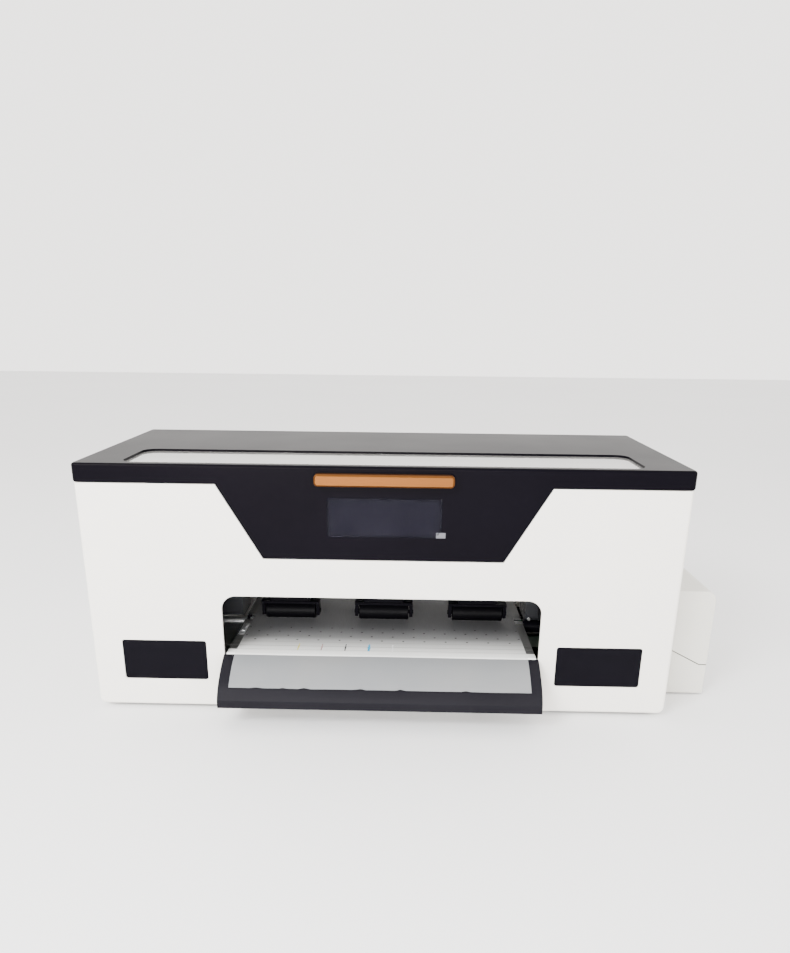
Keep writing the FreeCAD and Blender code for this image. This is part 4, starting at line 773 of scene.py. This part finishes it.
def make_film():
    """The film: one sheet with a soft swell where it hangs and a torn, curled front edge."""
    rows = film_path()
    half = (high("transfer_film").x - low("transfer_film").x) / 2
    start_clean()
    bpy.ops.mesh.primitive_grid_add(x_subdivisions=FILM_COLUMNS, y_subdivisions=len(rows) - 1, size=2.0)
    film = bpy.context.object
    film.name = "transfer_film_sheet"
    rng = random.Random(7)
    tear = [rng.uniform(-1.0, 1.0) for _ in range(9)]
    nicks = [(rng.uniform(-0.9, 0.9), rng.uniform(0.02, 0.05), rng.uniform(0.5, 1.0))
             for _ in range(7)]
    last = len(rows) - 1
    for vertex in film.data.vertices:
        u = vertex.co.x
        row = min(last, max(0, round((1.0 - vertex.co.y) / 2.0 * last)))
        y, z, a = rows[row]
        front = max(0.0, (row - (last - TORN_ROWS)) / TORN_ROWS)
        wave = sum(t * math.sin((k + 1) * 2.3 * u + k) for k, t in enumerate(tear)) / len(tear)
        cut = front * (0.5 * wave - 0.5) * MM
        curl = 0.0
        for place, width, depth in nicks:
            near = max(0.0, 1.0 - abs(u - place) / width)
            cut -= front * depth * near * 1.1 * MM
            curl += front * near * depth * 0.9 * MM
        swell = FILM_SWELL * (1.0 + math.sin(5.0 * u + 1.3)) * min(1.0, max(0.0, a * 3.0))
        along = Vector((0, -math.cos(a), -math.sin(a)))
        normal = Vector((0, -math.sin(a), math.cos(a)))
        vertex.co = Vector((MID_X + u * half, y, z)) + along * cut + normal * (swell + curl)
    film.data.update()
    start_clean()
    film.select_set(True)
    bpy.context.view_layer.objects.active = film
    bpy.ops.object.mode_set(mode="EDIT")
    bpy.ops.mesh.select_all(action="SELECT")
    bpy.ops.mesh.normals_make_consistent(inside=False)
    bpy.ops.object.mode_set(mode="OBJECT")
    apply_modifier(film, "SOLIDIFY", thickness=FILM_T, offset=1.0)
    smooth(film, 60)
    fit(film, "base", FILM)
    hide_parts("transfer_film")


TICKS = {"yellow": (-95.6, (0.80, 0.72, 0.10)), "pink": (-68.7, (0.50, 0.30, 0.30)),
         "black": (-41.4, (0.05, 0.05, 0.05)), "cyan": (-14.3, (0.05, 0.45, 0.75)),
         "white": (12.9, (0.90, 0.90, 0.90))}
# each mark's three steps: how wide, and where it starts and ends behind the casing's front
TICK_STEPS = ((1.3, 13.0, 19.5), (1.8, 19.5, 25.0), (1.1, 25.0, 32.0))
TICK_SHIFT = 0.12
TICK_T = 0.02 * MM


def make_ink_ticks():
    """Short nozzle-test marks printed across the film's front, one per ink."""
    top = PLATEN_TOP + FILM_LIFT + FILM_T + TICK_T
    for name, (x, colour) in TICKS.items():
        marks = []
        broad = 1.9 if name == "cyan" else 1.0
        for i, (width, y0, y1) in enumerate(TICK_STEPS):
            width *= broad
            cx = MID_X + (x + (i - 1) * TICK_SHIFT) * MM
            marks.append(block("mark", (cx - width / 2 * MM, FRONT_Y + y0 * MM, top),
                               (cx + width / 2 * MM, FRONT_Y + y1 * MM, top + TICK_T)))
        finish = ink_tick_finish("ink_" + name, colour)
        fit(joined("ink_tick_" + name, marks), "base", finish)


# ---- screen film ------------------------------
BUBBLES = 26


def make_screen_film():
    """The clear protective film left on the display, with trapped bubbles, and its pull tab."""
    lo, hi = low("display_glass"), high("display_glass")
    face = low("lid_shell").y
    finish = Finish("screen_film", IOR=1.45, Alpha=0.22, Specular_IOR_Level=0.06)
    smear = finish.noise(35.0, 5.0, (2.0, 1.0, 1.0))
    finish.set("Base Color", finish.wander(smear, (0.007, 0.0064, 0.011), (0.016, 0.015, 0.024)))
    finish.set("Roughness", finish.span(smear, 0.15, 0.4))
    wide, tall = hi.x - lo.x + 1.6 * MM, hi.z - lo.z + 1.2 * MM
    start_clean()
    bpy.ops.mesh.primitive_grid_add(x_subdivisions=150, y_subdivisions=56, size=1.0,
                                    rotation=(QUARTER, 0, 0))
    film = bpy.context.object
    film.scale = (wide, tall, 1.0)
    film.location = ((lo.x + hi.x) / 2, face - 0.12 * MM, (lo.z + hi.z) / 2)
    settle(film, "screen_film")
    rng = random.Random(3)
    bubbles = []
    for _ in range(BUBBLES):
        x = hi.x - abs(rng.gauss(0, 7.0)) * MM - 2 * MM
        z = lo.z + abs(rng.gauss(0, 6.0)) * MM + 2 * MM
        bubbles.append((x, z, rng.uniform(0.5, 1.5) * MM, rng.uniform(0.2, 0.5) * MM))
    for vertex in film.data.vertices:
        for x, z, radius, height in bubbles:
            gap = math.hypot(vertex.co.x - x, vertex.co.z - z) / radius
            if gap < 1.0:
                vertex.co.y -= height * (1.0 - gap * gap)
    film.data.update()
    apply_modifier(film, "SOLIDIFY", thickness=0.06 * MM, offset=0.0)
    smooth(film, 60)
    fit(film, "lid", finish.material)

    tab_finish = coated("pull_tab_film", (0.16, 0.16, 0.18), (0.10, 0.10, 0.115), (0.25, 0.4),
                        grain=600.0, Alpha=0.75)
    tab = block("pull_tab", (hi.x - 5 * MM, face - 0.5 * MM, lo.z - 0.4 * MM),
                (hi.x + 5 * MM, face - 0.38 * MM, lo.z + 5.6 * MM))
    bevelled(tab, 0.04 * MM, 1)
    fit(tab, "lid", tab_finish)


# ---- small fittings ------------------------------
# the hinge leaves' length and screw places along it, and their screws' height from the free edge
LEAF_LENGTH = 60.0 * MM
LEAF_HOLES = (9.0 * MM, 30.0 * MM, 51.0 * MM)
LEAF_EDGE = 5.0 * MM
# the back panel's screws, from its sides and from its top and bottom
PANEL_SIDE = 16.0 * MM
PANEL_END = 14.0 * MM


def socket_screw(name, place, radius, height, sign):
    """A button-head screw with a round socket, facing backwards, or forwards where the sign is -1."""
    start_clean()
    bpy.ops.mesh.primitive_cylinder_add(vertices=32, radius=radius, depth=height)
    head = bpy.context.object
    bpy.ops.object.mode_set(mode="EDIT")
    bpy.ops.mesh.select_all(action="DESELECT")
    bpy.ops.object.mode_set(mode="OBJECT")
    for polygon in head.data.polygons:
        polygon.select = polygon.normal.z > 0.9
    bpy.ops.object.mode_set(mode="EDIT")
    bpy.ops.mesh.inset(thickness=radius * 0.22, depth=height * 0.35)
    bpy.ops.mesh.inset(thickness=radius * 0.28, depth=0.0)
    bpy.ops.mesh.extrude_region_move(TRANSFORM_OT_translate={"value": (0, 0, -height * 0.75)})
    bpy.ops.object.mode_set(mode="OBJECT")
    turn = Matrix.Rotation(-sign * QUARTER, 4, "X")
    head.data.transform(Matrix.Translation(place) @ turn)
    head.name = name
    return smooth(head, 40)


def screw_set(name, body, places, radius, height):
    """One screw modelled at the first place and copied to the others, all facing backwards."""
    first = socket_screw(name, places[0], radius, height, 1.0)
    heads = [first] + [copied(first, place - places[0], name) for place in places[1:]]
    fit(joined(name, heads), body, STEEL)


def make_screws():
    """Screws of the hinge leaves and the back panel, and the one seen by the right end cover."""
    for node, body in (("base_hinge_leaves", "base"), ("lid_hinge_leaves", "lid")):
        lo, hi = low(node), high(node)
        z = (lo.z + LEAF_EDGE) if body == "base" else (hi.z - LEAF_EDGE)
        starts = (lo.x, hi.x - LEAF_LENGTH)
        places = [Vector((x + dx, BACK_Y + 2.7 * MM, z)) for x in starts for dx in LEAF_HOLES]
        screw_set(body + "_hinge_screws", body, places, 2.4 * MM, 1.4 * MM)
    lo, hi = low("back_panel"), high("back_panel")
    columns = (lo.x + PANEL_SIDE, MID_X, hi.x - PANEL_SIDE)
    levels = (lo.z + PANEL_END, hi.z - PANEL_END)
    places = [Vector((x, BACK_Y + 0.8 * MM, z)) for x in columns for z in levels]
    screw_set("back_panel_screws", "base", places, 3.2 * MM, 1.6 * MM)
    edge = low("right_end_cover")
    place = Vector((edge.x + 5.0 * MM, edge.y - 0.6 * MM, edge.z + 3.5 * MM))
    fit(socket_screw("end_cover_screw", place, 2.2 * MM, 1.2 * MM, -1.0), "base", STEEL)


def make_shaft_guide():
    """A split black bushing that steadies the grit roller just outside the film's left edge."""
    centre = middle("grit_roller")
    x = MID_X - 171.0 * MM
    start_clean()
    bpy.ops.mesh.primitive_torus_add(major_radius=7.6 * MM, minor_radius=1.5 * MM,
                                     major_segments=36, minor_segments=10,
                                     location=(x, centre.y, centre.z), rotation=ALONG_X)
    parts = [settle(bpy.context.object, "ring")]
    for lean in (35, 145, 270):
        a = math.radians(lean)
        spot = Vector((x, centre.y + math.cos(a) * 9.6 * MM, centre.z + math.sin(a) * 9.6 * MM))
        half = Vector((1.6, 1.2, 1.2)) * MM
        parts.append(block("lug", spot - half, spot + half, 0.3 * MM))
    fit(joined("shaft_guide", parts), "base", BLACK_PLASTIC)


def make_shaft_sleeve():
    """A black sleeve round the grit roller's right end, between the film and the side frame."""
    centre = middle("grit_roller")
    start, end = MID_X + 175.2 * MM, low("right_side_frame").x - 1.0 * MM
    start_clean()
    bpy.ops.mesh.primitive_cylinder_add(vertices=48, radius=7.8 * MM, depth=end - start,
                                        end_fill_type="NOTHING", rotation=ALONG_X,
                                        location=((start + end) / 2, centre.y, centre.z))
    sleeve = settle(bpy.context.object, "shaft_sleeve")
    apply_modifier(sleeve, "SOLIDIFY", thickness=1.2 * MM, offset=-1.0)
    bevelled(sleeve, 0.2 * MM, 2, 50)
    fit(smooth(sleeve), "base", BLACK_PLASTIC)


def make_edge_sensor():
    """The bright metal plate of the film edge sensor, let into the platen's left margin."""
    a = MID_X - 173.4 * MM
    b = MID_X - 165.6 * MM
    plate = block("edge_sensor_plate", (a, FRONT_Y + 57 * MM, PLATEN_TOP + 0.02 * MM),
                  (b, FRONT_Y + 92 * MM, PLATEN_TOP + 0.4 * MM), 0.1 * MM)
    clip = block("clip", (a + 1.2 * MM, FRONT_Y + 66 * MM, PLATEN_TOP + 0.2 * MM),
                 (b - 1.2 * MM, FRONT_Y + 80 * MM, PLATEN_TOP + 1.4 * MM), 0.4 * MM)
    fit(joined("edge_sensor_plate", [plate, clip]), "base", BRIGHT_METAL)


def make_encoder_strip():
    """The clear position strip along the beam's front, with its fine printed lines."""
    finish = Finish("encoder_strip", IOR=1.5, Alpha=0.7, Roughness=0.2)
    lines = add_node(finish.tree, "ShaderNodeTexWave", Scale=480.0)
    finish.link(finish.place(), lines.inputs["Vector"])
    grey = finish.mix(lines.outputs["Fac"], (0.05, 0.05, 0.055), (0.30, 0.30, 0.31))
    finish.set("Base Color", grey)
    beam_lo, beam_hi = low("x_beam"), high("x_beam")
    strip = block("encoder_strip", (beam_lo.x + 12 * MM, beam_lo.y - 0.5 * MM, beam_lo.z + 0.8 * MM),
                  (beam_hi.x - 12 * MM, beam_lo.y - 0.1 * MM, beam_lo.z + 5.2 * MM), 0.05 * MM)
    fit(strip, "base", finish.material)


# a tank's width, how far its ink stands in from it, and how high a full one stands
TANK_WIDTH = 26.0 * MM
TANK_WALL = 1.7 * MM
TANK_FULL = 88


def make_inks():
    """The ink inside each tank, each at its own level."""
    lo, hi = low("ink_tanks"), high("ink_tanks")
    pitch = (hi.y - lo.y - TANK_WIDTH) / (len(INKS) - 1)
    half, gap = TANK_WIDTH / 2, TANK_WALL
    for i, (name, colour) in enumerate(INKS.items()):
        y = lo.y + half + i * pitch
        level = 0.55 + 0.07 * ((i * 2) % 5)
        finish = Finish("ink_" + name + "_liquid", IOR=1.36, Coat_Weight=0.8)
        shade = finish.noise(30.0)
        finish.set("Base Color", finish.wander(shade, tuple(c * 0.85 for c in colour), colour))
        finish.set("Roughness", finish.span(shade, 0.05, 0.15))
        top = lo.z + gap + level * TANK_FULL * MM
        ink = block("ink_" + name, (lo.x + gap, y - half + gap, lo.z + gap),
                    (hi.x - gap, y + half - gap, top), 1.2 * MM)
        fit(ink, "base", finish.material)


def make_box_seal():
    """The amber sealing strip that shows in the ink box's parting line, front, side and back."""
    lo, hi = low("side_tray"), high("side_tray")
    proud = 0.12 * MM
    start = Vector((lo.x + 1.5 * MM, lo.y - proud, lo.z + SEAM_OUT_UP))
    end = Vector((hi.x - 0.05 * MM, hi.y + proud, lo.z + SEAM_OUT_UP))
    bend = hi.x - SEAM_FLAT
    start_clean()
    bpy.ops.mesh.primitive_plane_add(size=1.0, location=(start + end) / 2)
    seal = bpy.context.object
    seal.scale = (end.x - start.x, end.y - start.y, 1.0)
    settle(seal, "box_seal")
    bpy.ops.object.mode_set(mode="EDIT")
    bpy.ops.mesh.select_all(action="SELECT")
    bpy.ops.mesh.bisect(plane_co=(bend, 0, 0), plane_no=(1, 0, 0))
    bpy.ops.mesh.select_all(action="SELECT")
    bpy.ops.mesh.inset(thickness=1.6 * MM)
    bpy.ops.mesh.delete(type="FACE")
    bpy.ops.mesh.select_all(action="SELECT")
    bpy.ops.mesh.bisect(plane_co=(bend, 0, 0), plane_no=(1, 0, 0))
    bpy.ops.object.mode_set(mode="OBJECT")
    rise = (SEAM_IN_UP - SEAM_OUT_UP) / (bend - lo.x)
    for vertex in seal.data.vertices:
        vertex.co.z += max(0.0, bend - vertex.co.x) * rise - 0.2 * MM
    apply_modifier(seal, "SOLIDIFY", thickness=1.1 * MM, offset=0.0)
    bevelled(seal, 0.08 * MM, 1)
    finish = Finish("amber_seal", Specular_IOR_Level=0.2)
    texture = finish.group(TEXTURE, Grain=1200.0, Depth=0.1)
    inner = finish.band("X", lo.x - 10.0 * MM, lo.x + 26.0 * MM, 10.0 * MM)
    finish.set("Base Color", finish.mix(inner, (0.020, 0.021, 0.014), (0.11, 0.048, 0.008)))
    finish.set("Roughness", finish.span(texture.outputs["Mottle"], 0.4, 0.55))
    finish.set("Normal", texture.outputs["Normal"])
    fit(seal, "base", finish.material)


def make_damper_tubes():
    """Six supply tubes from the dampers to a manifold at the back of the carriage."""
    lo, hi = low("ink_dampers"), high("ink_dampers")
    back = high("carriage_body").y
    clear = Finish("supply_tube", IOR=1.45, Alpha=0.8)
    cloud = clear.noise(50.0)
    clear.set("Base Color", clear.wander(cloud, (0.30, 0.30, 0.29), (0.42, 0.42, 0.40)))
    clear.set("Roughness", clear.span(cloud, 0.15, 0.3))
    wall_y = FRONT_Y + 94.0 * MM
    rail_z = hi.z + 12 * MM
    manifold = block("tube_manifold", (lo.x - 4 * MM, wall_y - 7 * MM, rail_z - 5 * MM),
                     (hi.x + 4 * MM, wall_y + 0.9 * MM, rail_z + 5 * MM), 0.8 * MM)
    fit(manifold, "carriage", BLACK_PLASTIC)
    tubes = []
    for i in range(len(INKS)):
        x = lo.x + 9.0 * MM + (i % 2) * 25.0 * MM
        y = lo.y + 5.0 * MM + (i // 2) * 13.0 * MM
        end_x = lo.x + 3.0 * MM + i * 7.4 * MM
        points = [(x, y, hi.z - 1.0 * MM), (x, y, hi.z + 7 * MM), (x, y + 4 * MM, hi.z + 13 * MM),
                  ((x + end_x) / 2, (y + wall_y) / 2, rail_z + 9 * MM),
                  (end_x, wall_y - 14 * MM, rail_z + 3 * MM),
                  (end_x, wall_y - 9 * MM, rail_z), (end_x, wall_y - 5 * MM, rail_z)]
        tubes.append(tube("supply_tube", points, 1.5 * MM))
    fit(joined("damper_tubes", tubes), "carriage", clear.material)


def make_lid_stiffeners():
    """Two folded stiffening channels on the lid's underside."""
    lo, hi = low("lid_shell"), high("lid_shell")
    under = hi.z - 2.5 * MM
    bars = []
    for y in (FRONT_Y + 122 * MM, FRONT_Y + 214 * MM):
        bars.append(block("bar", (lo.x + 40 * MM, y, under - 9 * MM),
                          (hi.x - 40 * MM, y + 26 * MM, under), 1.2 * MM))
    fit(joined("lid_stiffeners", bars), "lid", LID_PAINT)


# ---- room ------------------------------
# the sky's colour, and its strength from in front of the printer to behind it
SKY_TINT = (1.0, 0.975, 0.945, 1.0)
SKY_FROM, SKY_TO = -0.6, 0.5
SKY_FRONT, SKY_BACK = 1.5, 3.0


def make_room():
    """A pale floor just under the feet, and a sky that is brighter behind the printer."""
    start_clean()
    bpy.ops.mesh.primitive_plane_add(size=12.0, location=(0, 0, CAD_BOX[0][2] - 0.0002))
    floor = bpy.context.object
    floor.name = "floor"
    finish = Finish("pale_floor", Roughness=0.6)
    finish.set("Base Color", finish.wander(finish.noise(0.8), (0.86, 0.86, 0.865), (0.89, 0.89, 0.895)))
    floor.data.materials.append(finish.material)
    world = bpy.data.worlds.new("studio")
    bpy.context.scene.world = world
    world.use_nodes = True
    tree = world.node_tree
    back = tree.nodes["Background"]
    back.inputs["Color"].default_value = SKY_TINT
    place = tree.nodes.new("ShaderNodeTexCoord")
    parts = tree.nodes.new("ShaderNodeSeparateXYZ")
    level = tree.nodes.new("ShaderNodeMapRange")
    level.inputs["From Min"].default_value = SKY_FROM
    level.inputs["From Max"].default_value = SKY_TO
    level.inputs["To Min"].default_value = SKY_FRONT
    level.inputs["To Max"].default_value = SKY_BACK
    tree.links.new(place.outputs["Generated"], parts.inputs["Vector"])
    tree.links.new(parts.outputs["Y"], level.inputs["Value"])
    tree.links.new(level.outputs["Result"], back.inputs["Strength"])


def soft_light(name, place, aim, size, power):
    start_clean()
    bpy.ops.object.light_add(type="AREA", location=place)
    lamp = bpy.context.object
    lamp.name = name
    lamp.data.shape = "RECTANGLE"
    lamp.data.size, lamp.data.size_y = size
    lamp.data.energy = power
    lamp.rotation_euler = (Vector(aim) - Vector(place)).to_track_quat("-Z", "Y").to_euler()


# each light: where it stands, where it points, its size and its power
LIGHTS = {"key": ((-1.3, -1.7, 1.7), (0, 0, 0.12), (0.9, 0.7), 95.0),
          "fill": ((1.7, -1.6, 0.9), (0, 0, 0.12), (1.4, 1.0), 24.0),
          "low_front": ((-0.25, -1.5, 0.42), (0, 0, 0.08), (0.9, 0.35), 30.0)}


def make_lights():
    for name, light in LIGHTS.items():
        soft_light(name, *light)


# the camera: its place from the casing's front centre at the floor, and how it is turned
CAMERA_OFFSET = Vector((0.0246, -0.7801, 0.4238))
CAMERA_PITCH = 0.3252
CAMERA_YAW = -0.0186
CAMERA_ROLL = 0.0107
CAMERA_LENS = 28.63
CAMERA_SHIFT = (0.0047, 0.1087)


def make_camera():
    data = bpy.data.cameras.new("camera")
    camera = bpy.data.objects.new("camera", data)
    bpy.context.scene.collection.objects.link(camera)
    data.sensor_width = 36.0
    data.lens = CAMERA_LENS
    data.shift_x, data.shift_y = CAMERA_SHIFT
    data.clip_start = 0.01
    level = math.cos(CAMERA_PITCH)
    ahead = Vector((math.sin(CAMERA_YAW) * level, math.cos(CAMERA_YAW) * level, -math.sin(CAMERA_PITCH)))
    right = Vector((math.cos(CAMERA_YAW), -math.sin(CAMERA_YAW), 0))
    up = right.cross(ahead)
    turned = right * math.cos(CAMERA_ROLL) + up * math.sin(CAMERA_ROLL)
    upward = up * math.cos(CAMERA_ROLL) - right * math.sin(CAMERA_ROLL)
    matrix = Matrix((turned, upward, -ahead)).transposed().to_4x4()
    matrix.translation = Vector((MID_X, FRONT_Y, 0)) + CAMERA_OFFSET
    camera.matrix_world = matrix
    bpy.context.scene.camera = camera


dress_frame()
make_camera()
make_film()
make_ink_ticks()
make_screen_film()
make_screws()
make_shaft_guide()
make_shaft_sleeve()
make_edge_sensor()
make_inks()
make_encoder_strip()
make_box_seal()
make_damper_tubes()
make_lid_stiffeners()
make_room()
make_lights()
